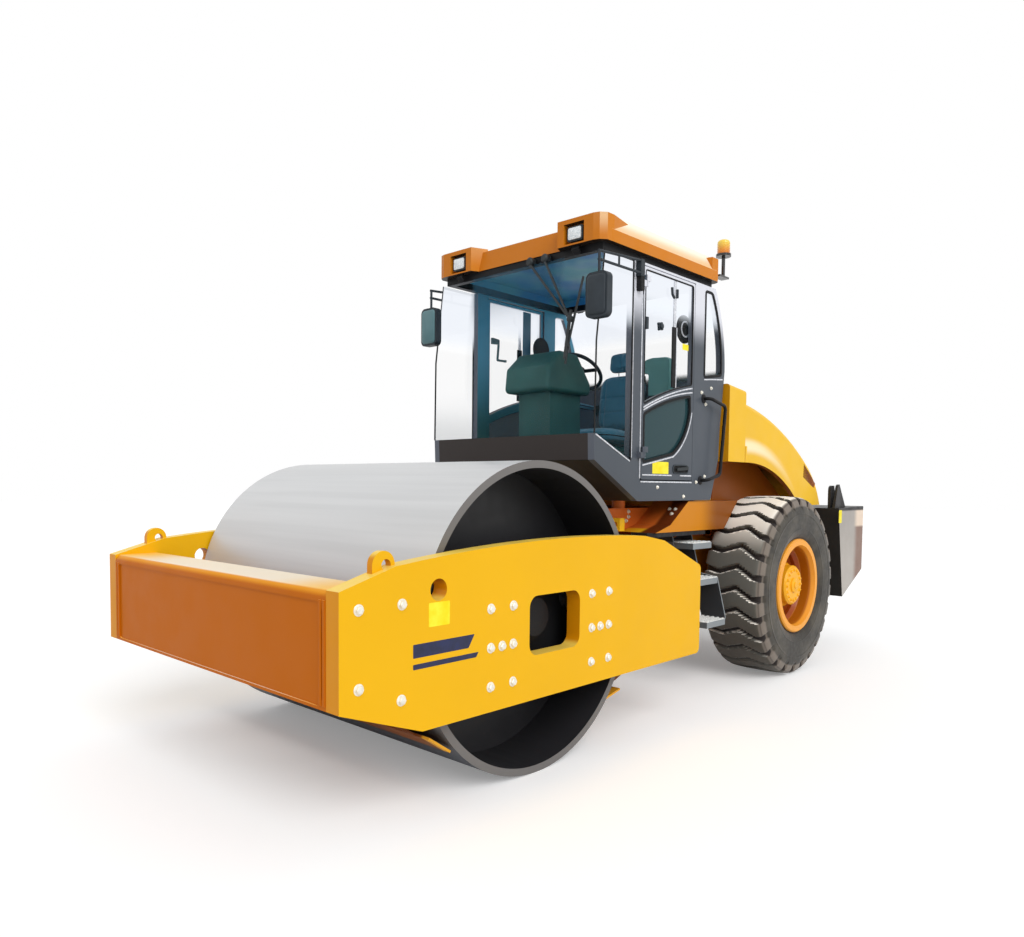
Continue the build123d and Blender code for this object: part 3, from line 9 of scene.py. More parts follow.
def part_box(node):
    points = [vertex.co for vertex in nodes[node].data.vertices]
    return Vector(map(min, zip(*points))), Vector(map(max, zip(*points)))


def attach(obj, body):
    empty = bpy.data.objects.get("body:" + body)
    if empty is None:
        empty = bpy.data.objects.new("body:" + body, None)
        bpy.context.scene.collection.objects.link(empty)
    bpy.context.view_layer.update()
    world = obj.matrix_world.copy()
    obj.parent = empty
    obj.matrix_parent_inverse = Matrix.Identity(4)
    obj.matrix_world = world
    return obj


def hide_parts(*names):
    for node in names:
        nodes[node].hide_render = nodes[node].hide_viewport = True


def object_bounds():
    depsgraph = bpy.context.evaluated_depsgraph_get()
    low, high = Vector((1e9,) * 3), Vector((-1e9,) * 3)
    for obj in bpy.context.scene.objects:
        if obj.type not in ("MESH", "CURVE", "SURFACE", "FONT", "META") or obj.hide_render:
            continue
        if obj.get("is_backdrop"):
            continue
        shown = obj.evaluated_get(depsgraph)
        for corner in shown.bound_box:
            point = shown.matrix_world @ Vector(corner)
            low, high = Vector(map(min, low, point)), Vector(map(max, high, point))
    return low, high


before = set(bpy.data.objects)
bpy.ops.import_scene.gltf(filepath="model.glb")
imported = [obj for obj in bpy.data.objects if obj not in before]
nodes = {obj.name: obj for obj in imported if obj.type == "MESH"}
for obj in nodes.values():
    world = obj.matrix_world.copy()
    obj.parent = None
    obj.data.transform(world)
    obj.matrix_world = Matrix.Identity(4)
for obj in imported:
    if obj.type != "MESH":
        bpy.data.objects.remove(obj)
scene = bpy.context.scene
SIDES = (("left", 1), ("right", -1))


def note_size(name, sizes):
    sizes[name] = [[float(v) for v in corner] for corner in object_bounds()]


sizes = {}
note_size("cad_box", sizes)

# side views are drawn in stations from the drum's axis, as in the part's source
drum_low, drum_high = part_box("drum")
DRUM_X = (drum_low.x + drum_high.x) / 2
DRUM_Z = (drum_low.z + drum_high.z) / 2
tyre_low, tyre_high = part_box("tyre_left")
AXLE_X, AXLE_Z = (tyre_low.x + tyre_high.x) / 2, (tyre_low.z + tyre_high.z) / 2
TYRE_Y = (tyre_low.y + tyre_high.y) / 2
PLATE_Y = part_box("side_plate_left")[1].y
DOOR_Y = 0.767
CAB_Y = 0.765
SUNK = 0.0005  # how deep small pieces sink into what they stand on
TREAD_HEIGHTS = (1.135, 0.864, 0.548)
LUGS = 27


# ================================================================ materials
def srgb(code):
    """Linear colour of a six-digit sRGB one."""
    c = np.array([int(code[i:i + 2], 16) for i in (0, 2, 4)]) / 255
    linear = np.where(c <= 0.04045, c / 12.92, ((c + 0.055) / 1.055) ** 2.4)
    return (*[float(v) for v in linear], 1.0)


class Pattern:
    """A number or colour that varies over a surface or by ray: the output of one node."""

    def __init__(self, wiring, socket):
        self.wiring, self.socket = wiring, socket

    def maths(self, operation, second=0.0):
        return self.wiring.output(0, "Math", {0: self, 1: second}, operation=operation)

    def __add__(self, second):
        return self.maths("ADD", second)

    def __sub__(self, second):
        return self.maths("SUBTRACT", second)

    def __mul__(self, second):
        return self.maths("MULTIPLY", second)

    def __abs__(self):
        return self.maths("ABSOLUTE")

    def ramp(self, low, high, at_low=0.0, at_high=1.0):
        """Smooth step from at_low to at_high as the number goes from low to high."""
        inputs = {"Value": self, "From Min": low, "From Max": high, "To Min": at_low, "To Max": at_high}
        return self.wiring.output("Result", "MapRange", inputs, interpolation_type="SMOOTHSTEP")

    def mix(self, first, second):
        """Colour that turns from the first to the second as the number goes from 0 to 1."""
        return self.wiring.output(2, "Mix", {0: self, 6: first, 7: second}, data_type="RGBA")


class Wiring:
    """Nodes of one material or world and short calls that wire them. Colours are six-digit codes."""

    def __init__(self, owner, shader):
        owner.use_nodes = True
        self.tree = owner.node_tree
        self.shader = self.tree.nodes[shader]

    def feed(self, socket, value):
        if isinstance(value, Pattern):
            self.tree.links.new(value.socket, socket)
        else:
            socket.default_value = srgb(value) if isinstance(value, str) else value

    def output(self, which, kind, inputs, **settings):
        """Adds a node and gives one of its outputs."""
        made = self.tree.nodes.new("ShaderNode" + kind)
        for key, value in settings.items():
            setattr(made, key, value)
        for key, value in inputs.items():
            self.feed(made.inputs[key], value)
        return Pattern(self, made.outputs[which])

    def set(self, socket, value):
        self.feed(self.shader.inputs[socket], value)


class Finish(Wiring):
    """One material; keywords set inputs of its shader."""

    def __init__(self, name, **constants):
        self.material = bpy.data.materials.new(name)
        super().__init__(self.material, "Principled BSDF")
        for key, value in constants.items():
            self.set(key.replace("_", " "), value)
        source = self.tree.nodes.new("ShaderNodeTexCoord")
        self.vectors = {name: Pattern(self, source.outputs[name]) for name in ("Object", "Normal")}

    def place(self, letter):
        """Where a point lies along one axis."""
        return self.output(letter, "SeparateXYZ", {"Vector": self.vectors["Object"]})

    def facing(self, letter):
        """How far a surface looks along one axis, from -1 to 1."""
        return self.output(letter, "SeparateXYZ", {"Vector": self.vectors["Normal"]})

    def noise(self, scale, detail=2.0, stretch=(1, 1, 1)):
        mapped = self.output("Vector", "Mapping", {"Vector": self.vectors["Object"], "Scale": stretch})
        return self.output("Fac", "TexNoise", {"Vector": mapped, "Scale": scale, "Detail": detail})

    def from_axis(self, x, z):
        """Distance from a cross axis at x and z."""
        dx, dz = self.place("X") - x, self.place("Z") - z
        return (dx * dx + dz * dz).maths("SQRT")

    def rough(self, low, high, scale, detail=2.0):
        """Roughness that drifts between two values in soft patches."""
        self.set("Roughness", self.noise(scale, detail).ramp(0.3, 0.7, low, high))

    def bump(self, height, strength, distance):
        self.set("Normal", self.output("Normal", "Bump", {"Height": height, "Strength": strength,
                                                          "Distance": distance}))


def enamel(name, colour, forward=None, upward=None, under=None, rearward=None, rough=0.38, mottle=0.06,
           gloss=0.16, level=(0.45, 0.95)):
    """Sprayed enamel: painted light and shade as tones by the way a face looks, a broad drift of tone, faint
    orange peel.
    """
    finish = Finish(name, Coat_Weight=0.04, Coat_Roughness=0.15, Specular_IOR_Level=gloss)
    finish.tone = colour
    x, z = finish.facing("X"), finish.facing("Z")
    # tones for faces looking forward, rearward, up and down are painted light and shade
    for code, axis, reach in ((forward, x, (0.3, 0.85)), (rearward, x, (-0.85, -0.3, 1, 0)),
                              (upward, z, level), (under, z, (-0.9, -0.35, 1, 0))):
        if code:
            finish.tone = axis.ramp(*reach).mix(finish.tone, code)
    finish.tone = finish.noise(1.9, 3.0).ramp(0.35, 0.75, 0.0, mottle).mix(finish.tone, "6E4210")
    finish.set("Base Color", finish.tone)
    finish.rough(rough - 0.06, rough + 0.08, 6.0, 4.0)
    finish.bump(finish.noise(90.0), 0.06, 0.002)
    return finish


def made_of(finish, *names):
    """Gives CAD nodes a finish."""
    for name in names:
        slots = nodes[name].material_slots
        for index in range(len(slots)):
            slots[index].material = finish.material


# plates and hood: darker orange on faces looking forward and down, and on the plates' faces looking back
# (painted shade), paler on faces looking up (painted highlight)
plate_paint = enamel("plate_yellow", "EEB50A", forward="DA8E06", upward="FBD65C", under="A8640E",
                     rearward="D2860C", mottle=0.04)
hood_paint = enamel("hood_yellow", "EFBD26", forward="E09A14", upward="FAD050", under="74390A", mottle=0.04)
# light caught along the hood's flare, fading rearwards
from_flare = abs(hood_paint.from_axis(AXLE_X + 0.3, 0.537) - 1.372)
hood_x = hood_paint.place("X")
gleam = from_flare.ramp(0.015, 0.085, 0.75, 0.0) * hood_x.ramp(AXLE_X - 0.75, AXLE_X + 0.2)
gleam = gleam * hood_x.ramp(AXLE_X + 0.335, AXLE_X + 0.345, 1, 0)
hood_paint.set("Base Color", gleam.mix(hood_paint.tone, "FFF6D8"))
# beam: the yellow paint painted orange on its front and darker underneath (painted shade), with a cream to
# yellow painted highlight on faces looking up
beam_paint = enamel("beam_orange", "C0660A", upward="E8971C", under="7E4210", mottle=0.02, gloss=0.05,
                    level=(0.15, 0.8))
beam_out = abs(beam_paint.place("Y"))
# painted highlight on the beam's top: cream in the middle, yellow towards its ends
beam_top = beam_out.ramp(0.55, 1.08).mix("FAEBD2", "FFC95E")
beam_paint.set("Base Color", beam_paint.facing("Z").ramp(0.84, 0.99).mix(beam_paint.tone, beam_top))
# rear frame, fenders, sill and black parts: their tones by facing are painted light and shade; the fenders'
# dark orange-brown is the yellow paint painted as in shade
frame_paint = enamel("frame_orange", "D27F18", forward="B8641A", upward="E3A02A", under="5C2E0E", mottle=0.2)
fender_paint = enamel("fender_shade", "9A5216", upward="7A3E10", under="4C240A", mottle=0.3)
sill_paint = enamel("sill_dark", "322E2E", forward="37312F", upward="55504E", under="1C1A1A", mottle=0.0)
black_paint = enamel("black_frame", "1A1A1C", forward="161618", upward="323235", rough=0.45, mottle=0.0)

# roof: orange skin, darker on faces looking forward (painted shade) and dark on faces looking down, pale on
# its sloping shoulders and turned corners (painted highlight), dark blue lining inside
roof_paint = enamel("roof_orange", "CF7C18", forward="C4731A", under="241C16", rough=0.42, mottle=0.03)
roof_x, roof_z = roof_paint.place("X"), roof_paint.place("Z")
roof_out = abs(roof_paint.place("Y"))
# painted highlight on the sloping shoulders, paler towards the top
shoulder = roof_z.ramp(3.24, 3.335).mix("EEC694", "FFF6E2")
shoulder_share = roof_paint.facing("Z").ramp(0.28, 0.44)
roof_skin = shoulder_share.mix(roof_paint.tone, shoulder)
# painted highlight on the rounded corners between the front and the sides
diagonal = abs(roof_paint.facing("X")) * abs(roof_paint.facing("Y"))
turned = diagonal.ramp(0.26, 0.5, 0, 0.6) * roof_z.ramp(3.17, 3.31)
roof_skin = turned.mix(roof_skin, "F6D5A6")
lining = roof_x.ramp(DRUM_X - 2.4, DRUM_X - 2.395) * roof_x.ramp(DRUM_X - 1.04, DRUM_X - 1.035, 1, 0)
lining = lining * roof_out.ramp(0.7, 0.71, 1, 0) * roof_z.ramp(3.225, 3.235, 1, 0)
lining_tone = roof_paint.noise(2.6).ramp(0.35, 0.65).mix("3480BC", "58A8BA")
roof_paint.set("Base Color", lining.mix(roof_skin, lining_tone))

# neck and skirts of the deck: the yellow paint painted as in shade, orange-red on the neck and darker towards
# its rear; the skirts stand further out and are brighter, darker towards their rear and dark brown on faces
# looking up under the cab (painted shade); the lug at the front of the neck stays bright yellow
deck_paint = Finish("deck_orange", Coat_Weight=0.05, Coat_Roughness=0.15, Specular_IOR_Level=0.16)
out = abs(deck_paint.place("Y"))
station = deck_paint.place("X")
# painted shade: orange-red neck, darker towards its rear
neck = station.ramp(-0.25, 0.3).mix("D06A28", "F47C30")
lug_share = out.ramp(0.452, 0.456) * station.ramp(0.13, 0.16)
lug = lug_share.mix(neck, "FFC41C")
# painted shade towards the skirts' rear and on their faces looking up under the cab
skirt = station.ramp(-0.68, -0.36).mix("8A4C14", "D08208")
skirt = deck_paint.facing("Z").ramp(0.4, 0.8).mix(skirt, "6A3012")
deck_paint.set("Base Color", out.ramp(0.6, 0.64).mix(lug, skirt))
deck_paint.rough(0.3, 0.42, 7.0)
deck_paint.bump(deck_paint.noise(80.0), 0.05, 0.002)

# cab shell: grey outside, a lighter grey on faces looking forward, turning nearly white towards the top of
# the posts as a painted reflection; blue-green inside, darker lower down
cab_paint = Finish("cab_grey", Coat_Weight=0.06, Coat_Roughness=0.15, Specular_IOR_Level=0.2)
y = cab_paint.place("Y")
inward = y.maths("SIGN") * cab_paint.facing("Y")
# painted reflection: the grey turns nearly white towards the top of the posts
outside = cab_paint.place("Z").ramp(2.6, 2.92).mix("4C525A", "DCDEE6")
outside = cab_paint.facing("X").ramp(0.4, 0.9).mix(outside, "5E636D")
inner = cab_paint.place("Z").ramp(1.9, 2.7).mix("33625E", "52A0C0")
cab_paint.set("Base Color", inward.ramp(-0.8, -0.3, 1, 0).mix(outside, inner))
cab_paint.rough(0.3, 0.42, 5.0, 4.0)
cab_paint.bump(cab_paint.noise(110.0), 0.05, 0.002)

# ground steel outside the shell, darker on its underside as painted shade, greyer on its end faces; dark
# paint inside it
drum_steel = Finish("drum_steel", Specular_IOR_Level=0.4)
radius = drum_steel.from_axis(DRUM_X, DRUM_Z)
lengthways = drum_steel.noise(14.0, 3.0, (1, 0.03, 1))
steel = lengthways.ramp(0.3, 0.7).mix("CACBCC", "D4D5D6")
down = drum_steel.facing("Z")
# painted shade on faces looking down
steel = down.ramp(-0.8, 0.05, 1, 0).mix(steel, "4A4E56")
facing_end = abs(drum_steel.facing("Y"))
steel = facing_end.ramp(0.5, 0.9).mix(steel, "74716F")
drum_steel.set("Base Color", radius.ramp(0.8092, 0.8098).mix("29292C", steel))
drum_steel.set("Roughness", lengthways.ramp(0.3, 0.7, 0.36, 0.46))
drum_steel.set("Metallic", radius.ramp(0.8092, 0.8098, 0.0, 0.25))
drum_steel.bump(lengthways, 0.02, 0.001)

# tyre: painted light and shade on the tread: bars darker on faces looking down, near white on faces looking
# up, groove floors dark; lighter shoulders; walls in two close tones in soft patches
tyre_rubber = Finish("tyre_rubber", Sheen_Weight=0.2, Sheen_Roughness=0.5, Specular_IOR_Level=0.25)
tyre_radius = tyre_rubber.from_axis(AXLE_X, AXLE_Z)
tyre_up = tyre_rubber.facing("Z")
bars = tyre_up.ramp(-0.55, 0.1).mix("4E483F", "62615B")
# painted highlight: faces of the bars looking up turn near white
bars = tyre_up.ramp(0.36, 0.84).mix(bars, "FFF8EC")
tyre_out = abs(abs(tyre_rubber.place("Y")) - TYRE_Y)
bars = tyre_out.ramp(0.212, 0.23).mix(bars, "857B70")
# painted shade: dark groove floors
tread_light_and_shade = tyre_radius.ramp(0.712, 0.736).mix("2E2826", bars)
tread_light_and_shade = tyre_out.ramp(0.23, 0.24).mix(tread_light_and_shade, "7A7066")
wall = tyre_rubber.noise(5.0, 5.0).ramp(0.35, 0.7).mix("322F2A", "504B42")
tyre_rubber.set("Base Color", tyre_radius.ramp(0.655, 0.675).mix(wall, tread_light_and_shade))
tyre_rubber.rough(0.6, 0.8, 30.0, 3.0)
tyre_rubber.bump(tyre_rubber.noise(160.0, 4.0), 0.12, 0.003)

# rim: bright hub and flange, with painted shade in deep orange in the well between them and on the inner side
# of the flange
rim_paint = Finish("rim_orange", Coat_Weight=0.08, Coat_Roughness=0.12, Specular_IOR_Level=0.25)
rim_radius = rim_paint.from_axis(AXLE_X, AXLE_Z)
# painted shade: deep orange in the well between hub and flange
dish = rim_radius.ramp(0.165, 0.2).mix("F6B21C", "94400A")
across_rim = abs(rim_paint.place("Y")) - TYRE_Y
lip = across_rim.ramp(0.195, 0.225).mix("9C460C", "F3A434")
seat_line = abs(rim_radius - 0.322).ramp(0.002, 0.006, 1, 0)
lip = seat_line.mix(lip, "B0640E")
rim_paint.set("Base Color", rim_radius.ramp(0.285, 0.3).mix(dish, lip))
rim_paint.rough(0.3, 0.42, 12.0)
rim_paint.bump(rim_paint.noise(90.0), 0.05, 0.002)


# clear high up, darker in the low panes
def pane(name, low, glare_range, low_alpha, low_range, slope=0.0):
    """Glass: dark tint fading out above a line that may slope, which where it is nearly opaque paints the
    shade inside the cab; a painted sky glare near the top edge, which glows pale.
    """
    glass = Finish(name, Specular_IOR_Level=0.2, Emission_Color="F3F7FE")
    z = glass.place("Z")
    glare = z.ramp(*glare_range)
    fall = z + glass.place("X") * slope
    glass.set("Base Color", glare.mix(low, "000000"))
    glass.set("Emission Strength", z.ramp(glare_range[0] - 0.01, glare_range[0] + 0.02, 0, 0.97))
    glass.set("Alpha", fall.ramp(*low_range, low_alpha, 0.022).maths("MAXIMUM", glare * 0.8))
    glass.rough(0.015, 0.035, 3.0)
    return glass


BELT = 2.1 + 0.3 * (DRUM_X - 1.465)
# door, quarter and rear panes: nearly opaque dark low down, standing in for the shade inside the cab; corner
# panes lightly tinted; both glow with a painted glare at the top
tint = pane("tinted_glass", "2A474C", (2.76, 2.92), 0.86, (BELT, BELT + 0.06), 0.3)
corner_tint = pane("corner_glass_tint", "1C3C44", (2.6, 2.8), 0.12, (1.9, 2.2))
screen_tint = Finish("screen_glass", Specular_IOR_Level=0.2, Base_Color="1F5068")
screen_height = screen_tint.place("Z")
screen_side = abs(screen_tint.place("Y"))
# painted shade along the top, as a tint that fades out towards both ends
screen_alpha = screen_height.ramp(2.7, 2.98, 0.03, 0.26) * screen_side.ramp(0.4, 0.46, 1.0, 0.0)
screen_tint.set("Alpha", screen_alpha.maths("MAXIMUM", screen_height.ramp(2.0, 2.3, 0.05, 0.0)))
screen_tint.rough(0.015, 0.035, 3.0)


def plain(name, dark, light, scale=4.0, rough=(0.4, 0.55), grain=240.0, strength=0.12, **constants):
    """Moulded or bare surface: two close tones in soft patches, a fine grain."""
    finish = Finish(name, **constants)
    finish.set("Base Color", finish.noise(scale, 4.0).ramp(0.3, 0.7).mix(dark, light))
    finish.rough(*rough, 2.5 * scale)
    if grain:
        finish.bump(finish.noise(grain, 3.0), strength, 0.001)
    return finish


plastic = plain("console_plastic", "234A48", "2C5A57", 3.0, (0.45, 0.6), Specular_IOR_Level=0.3)
dark_plastic = plain("dark_plastic", "232A30", "2E363D", Specular_IOR_Level=0.3)
rubber = plain("seal_rubber", "0E0E0F", "19191B", 40.0, (0.6, 0.8), 0, Specular_IOR_Level=0.3)
zinc = plain("bright_zinc", "E9E4D6", "F8F5EA", 60.0, (0.28, 0.42), 0, Metallic=0.35)
trim = plain("silver_trim", "C4C7CE", "E2E4EA", 30.0, (0.22, 0.35), 0, Metallic=0.3)
chrome = plain("chrome_rod", "C6C9CC", "DCDFE1", 50.0, (0.08, 0.18), 0, Metallic=1.0)
cast = plain("cast_iron", "2A2A2C", "3E3D3C", 12.0, (0.5, 0.7), 60.0, 0.25)
lens = plain("lamp_lens", "C9D2D6", "F4F7F8", 120.0, (0.12, 0.25), 0, Coat_Weight=0.5)
mirror_glass = plain("mirror_glass", "5E8F93", "74A4A6", 3.0, (0.05, 0.09), 0, Metallic=0.3)
lever_grip = plain("lever_grip", "12181A", "1C2326", 10.0, (0.5, 0.6))
tooth_steel = plain("tread_teeth_steel", "D2D5D3", "F4F6F4", 40.0, (0.4, 0.6), 0)
panel_teal = plain("panel_teal", "6FAAA6", "80BAB6", 3.0, (0.5, 0.65))
post_blue = plain("inner_post_blue", "3F7088", "4A8098", 3.0, (0.4, 0.55), 0)
shell_teal = plain("shell_teal", "44686E", "587E84", 3.0, (0.35, 0.5))

# ballast box: dark on faces that do not look sideways (painted shade), grey-brown along the sides, a little
# darker higher up, with a painted reflection near the rear of each side, pale above and dark below, and a
# dark band along the top of each side
ballast = Finish("ballast_grey", Coat_Weight=0.05, Specular_IOR_Level=0.25)
sideways = abs(ballast.facing("Y"))
weight_z = ballast.place("Z")
low_side = weight_z.ramp(0.75, 1.34).mix("B2ACA5", "A49E98")
# painted reflection near the rear of each side: dark below, pale above
shade = weight_z.ramp(1.17, 1.2).mix("8A7064", "E4D0BC")
rear_share = ballast.place("X").ramp(DRUM_X - 5.06, DRUM_X - 4.93, 1, 0)
low_side = rear_share.mix(low_side, shade)
side_tone = weight_z.ramp(1.335, 1.355).mix(low_side, "232122")
ballast.set("Base Color", sideways.ramp(0.5, 0.9).mix("2C2B29", side_tone))
ballast.rough(0.35, 0.55, 8.0, 4.0)
ballast.bump(ballast.noise(50.0, 4.0), 0.08, 0.002)

amber = Finish("beacon_amber", Coat_Weight=0.4)
lens_height = amber.place("Z")
glow = lens_height.ramp(3.4, 3.49).mix("DE8410", "F6D24C")
amber.set("Base Color", lens_height.ramp(3.388, 3.392).mix("1C1A18", glow))
amber.rough(0.18, 0.3, 30.0)

# scrapers: brown, yellow at their ends
scraper_paint = Finish("scraper_brown", Specular_IOR_Level=0.2)
scraper_out = abs(scraper_paint.place("Y"))
scraper_tone = scraper_paint.noise(5.0, 3.0).ramp(0.3, 0.7).mix("6A3812", "8A4A16")
scraper_paint.set("Base Color", scraper_out.ramp(1.0, 1.02).mix(scraper_tone, "EAA92A"))
scraper_paint.rough(0.4, 0.55, 9.0)

# steps: dark, lighter grey on faces looking sideways, mid grey on the fronts of the treads, near white on
# faces looking up (painted light and shade by facing), black above the top tread
step_paint = Finish("step_grey", Specular_IOR_Level=0.3)
tread_top = step_paint.facing("Z")
tread_end = abs(step_paint.facing("Y"))
on_tread = 0.0
for tread_z in TREAD_HEIGHTS:
    below = abs(step_paint.place("Z") - (tread_z - 0.0205))
    on_tread = below.ramp(0.024, 0.026, 1, 0) + on_tread
tread_face = on_tread * step_paint.facing("X").ramp(0.6, 0.9)
step_tone = tread_end.ramp(0.6, 0.9).mix("2E3236", "8C9296")
step_tone = tread_face.mix(step_tone, "5E6468")
# painted highlight: faces looking up turn near white
step_tone = tread_top.ramp(0.5, 0.9).mix(step_tone, "F2F4F2")
step_tone = step_paint.place("Z").ramp(1.185, 1.19).mix(step_tone, "1E1E20")
step_paint.set("Base Color", step_tone)
step_paint.rough(0.4, 0.6, 20.0)
step_paint.bump(step_paint.noise(120.0), 0.1, 0.001)

made_of(plate_paint, "side_plate_left", "side_plate_right", "rear_crossmember")
made_of(hood_paint, "hood", "hood_collar")
made_of(beam_paint, "front_beam")
made_of(roof_paint, "roof")
made_of(frame_paint, "rear_frame")
made_of(fender_paint, "inner_fenders")
made_of(deck_paint, "deck")
made_of(sill_paint, "cab_front_panel")
made_of(black_paint, "mount_brackets", "drum_carriers", "centre_joint", "roof_frame", "cab_floor",
        "grab_rails", "rear_axle", "steer_barrel_left", "steer_barrel_right")
made_of(scraper_paint, "scrapers")
made_of(cab_paint, "cab_side_left", "cab_side_right", "door_left", "door_right", "cab_rear_panel")
made_of(step_paint, "steps")
made_of(drum_steel, "drum")
made_of(rim_paint, "rim_left", "rim_right")
made_of(tint, "door_glass_left", "door_glass_right", "quarter_glass", "rear_glass")
made_of(corner_tint, "corner_glass")
made_of(screen_tint, "windscreen")
made_of(plastic, "steering_console", "seat_base")
made_of(dark_plastic, "mirrors", "work_lamps", "steering_wheel")
made_of(rubber, "rubber_buffers")
made_of(chrome, "steer_rod_left", "steer_rod_right")
made_of(cast, "engine_block")
made_of(ballast, "counterweight")
made_of(amber, "beacon")


# ================================================================ mesh helpers
def joined(*parts):
    """Several (vertices, faces) as one."""
    starts = np.cumsum([0] + [len(v) for v, _ in parts[:-1]])
    return (np.concatenate([np.asarray(v, float).reshape(-1, 3) for v, _ in parts]),
            [np.asarray(f) + s for (_, faces), s in zip(parts, starts) for f in faces])


def put(name, parts, finish, body, crease=38):
    """Piece made of parts, each (vertices, faces): it faces outwards and rides on a body."""
    vertices, faces = joined(*parts)
    mesh = bpy.data.meshes.new(name)
    mesh.from_pydata(vertices.tolist(), [], [list(map(int, f)) for f in faces])
    work = bmesh.new()
    work.from_mesh(mesh)
    bmesh.ops.recalc_face_normals(work, faces=work.faces)
    work.to_mesh(mesh)
    work.free()
    mesh.shade_smooth()
    mesh.set_sharp_from_angle(angle=math.radians(crease))
    mesh.materials.append(finish.material)
    made = bpy.data.objects.new(name, mesh)
    scene.collection.objects.link(made)
    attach(made, body)
    return made


def grid_faces(rows, columns, closed_rows, closed_columns):
    """Quads of a grid, with its last line joined to its first where it is closed."""
    r, c = np.meshgrid(np.arange(rows - (not closed_rows)), np.arange(columns - (not closed_columns)),
                       indexing="ij")
    r2, c2 = (r + 1) % rows, (c + 1) % columns
    corners = [r * columns + c, r2 * columns + c, r2 * columns + c2, r * columns + c2]
    return np.stack(corners, -1).reshape(-1, 4)


def closed_grid(points):
    """Vertices and faces of a grid of points that closes both ways."""
    return points.reshape(-1, 3), grid_faces(*points.shape[:2], True, True)


def shell(points, closed_rows=False):
    """Vertices and faces of a grid of points round a tube whose open ends are capped."""
    rows, columns = points.shape[:2]
    faces = [*grid_faces(rows, columns, closed_rows, True)]
    if not closed_rows:
        faces += [np.arange(columns)[::-1], np.arange(columns) + (rows - 1) * columns]
    return points.reshape(-1, 3), faces


def lathed(profile, steps):
    """Profile of (radius, rise) turned round +Y: x = r cos a, y = rise, z = r sin a."""
    profile = np.asarray(profile, float)
    angle = np.linspace(0, 2 * math.pi, steps, endpoint=False)
    r, rise = profile[:, 0, None], profile[:, 1, None]
    return np.stack([r * np.cos(angle), rise + 0 * angle, r * np.sin(angle)], -1)


def stamped(vertices, faces, places, turn=np.eye(3)):
    """One small mesh repeated: vertex k at place n is place n plus turn times vertex k."""
    vertices, places = np.asarray(vertices, float), np.asarray(places, float)
    spread = (vertices @ turn.T + places[:, None]).reshape(-1, 3)
    return spread, [np.asarray(f) + n * len(vertices) for n in range(len(places)) for f in faces]


def along(path, profile, up=(0, 1, 0), closed=False):
    """Profile of (side, rise) carried along a path: point = path + side * across + rise * up,
    where across is the path's direction crossed with up."""
    path, profile, up = np.asarray(path, float), np.asarray(profile, float), np.asarray(up, float)
    ahead = np.roll(path, -1, 0) - np.roll(path, 1, 0) if closed else np.gradient(path, axis=0)
    ahead /= np.linalg.norm(ahead, axis=1, keepdims=True)
    across = np.cross(ahead, up)
    across /= np.linalg.norm(across, axis=1, keepdims=True)
    rise = np.cross(across, ahead)
    points = path[:, None] + profile[None, :, :1] * across[:, None] + profile[None, :, 1:] * rise[:, None]
    return shell(points, closed_rows=closed)


def ring(radius, sides):
    """Circle profile."""
    a = np.linspace(0, 2 * math.pi, sides, endpoint=False)
    return np.stack([radius * np.cos(a), radius * np.sin(a)], -1)


def bar(width, thick, corner=0.25):
    """Rounded rectangle profile: a superellipse of sixteen points."""
    a = np.linspace(0, 2 * math.pi, 16, endpoint=False) + math.pi / 16
    c, s = np.cos(a), np.sin(a)
    return np.stack([width / 2 * np.sign(c) * np.abs(c) ** corner,
                     thick / 2 * np.sign(s) * np.abs(s) ** corner], -1)


def rounded(points, radius, steps, closed=True):
    """Corners of a polyline eased by quadratic arcs that start one radius before each corner."""
    p = np.asarray(points, float)
    before, after = np.roll(p, 1, 0) - p, np.roll(p, -1, 0) - p
    before /= np.linalg.norm(before, axis=1, keepdims=True)
    after /= np.linalg.norm(after, axis=1, keepdims=True)
    t = np.linspace(0, 1, steps)[None, :, None]
    a, b = (p + before * radius)[:, None], (p + after * radius)[:, None]
    curve = (1 - t) ** 2 * a + 2 * t * (1 - t) * p[:, None] + t ** 2 * b
    if not closed:
        return np.concatenate([p[:1], curve[1:-1].reshape(-1, p.shape[1]), p[-1:]])
    return curve.reshape(-1, p.shape[1])


def arc3(start, middle, end, steps):
    """Points of the circle arc through three points of a plane."""
    (ax, ay), (bx, by), (cx, cy) = start, middle, end
    a2, b2, c2 = (p * p + q * q for p, q in (start, middle, end))
    d = 2 * (ax * (by - cy) + bx * (cy - ay) + cx * (ay - by))
    ux = (a2 * (by - cy) + b2 * (cy - ay) + c2 * (ay - by)) / d
    uy = (a2 * (cx - bx) + b2 * (ax - cx) + c2 * (bx - ax)) / d
    first, second, third = (math.atan2(q - uy, p - ux) for p, q in (start, middle, end))
    turn = lambda angle: (angle + math.pi) % (2 * math.pi) - math.pi
    a = first + np.linspace(0, 1, steps) * (turn(second - first) + turn(third - second))
    r = math.hypot(ax - ux, ay - uy)
    return np.stack([ux + r * np.cos(a), uy + r * np.sin(a)], -1)


def side_path(points, y):
    """Side-view points (station, height) as points in space at y."""
    p = np.asarray(points, float)
    return np.stack([DRUM_X + p[:, 0], np.full(len(p), y), p[:, 1]], -1)


def plate(outline, y_low, y_high):
    """Side-view outline as thick as a stretch of y."""
    return shell(np.stack([side_path(outline, y_low), side_path(outline, y_high)]))


def sticker(outline, y, sign):
    """Thin plate on a side face."""
    return plate(outline, sign * (y - 0.001), sign * (y + 0.0008))


def quad(x0, x1, z0, z1, corner, steps=4):
    """Side-view rectangle with eased corners, drawn from its corner at x0 and z0."""
    return rounded([(x0, z0), (x0, z1), (x1, z1), (x1, z0)], corner, steps)


def strip(line, y, width, thick, closed=False):
    """Rounded bar laid along side-view points at y."""
    return along(side_path(line, y), bar(width, thick), closed=closed)


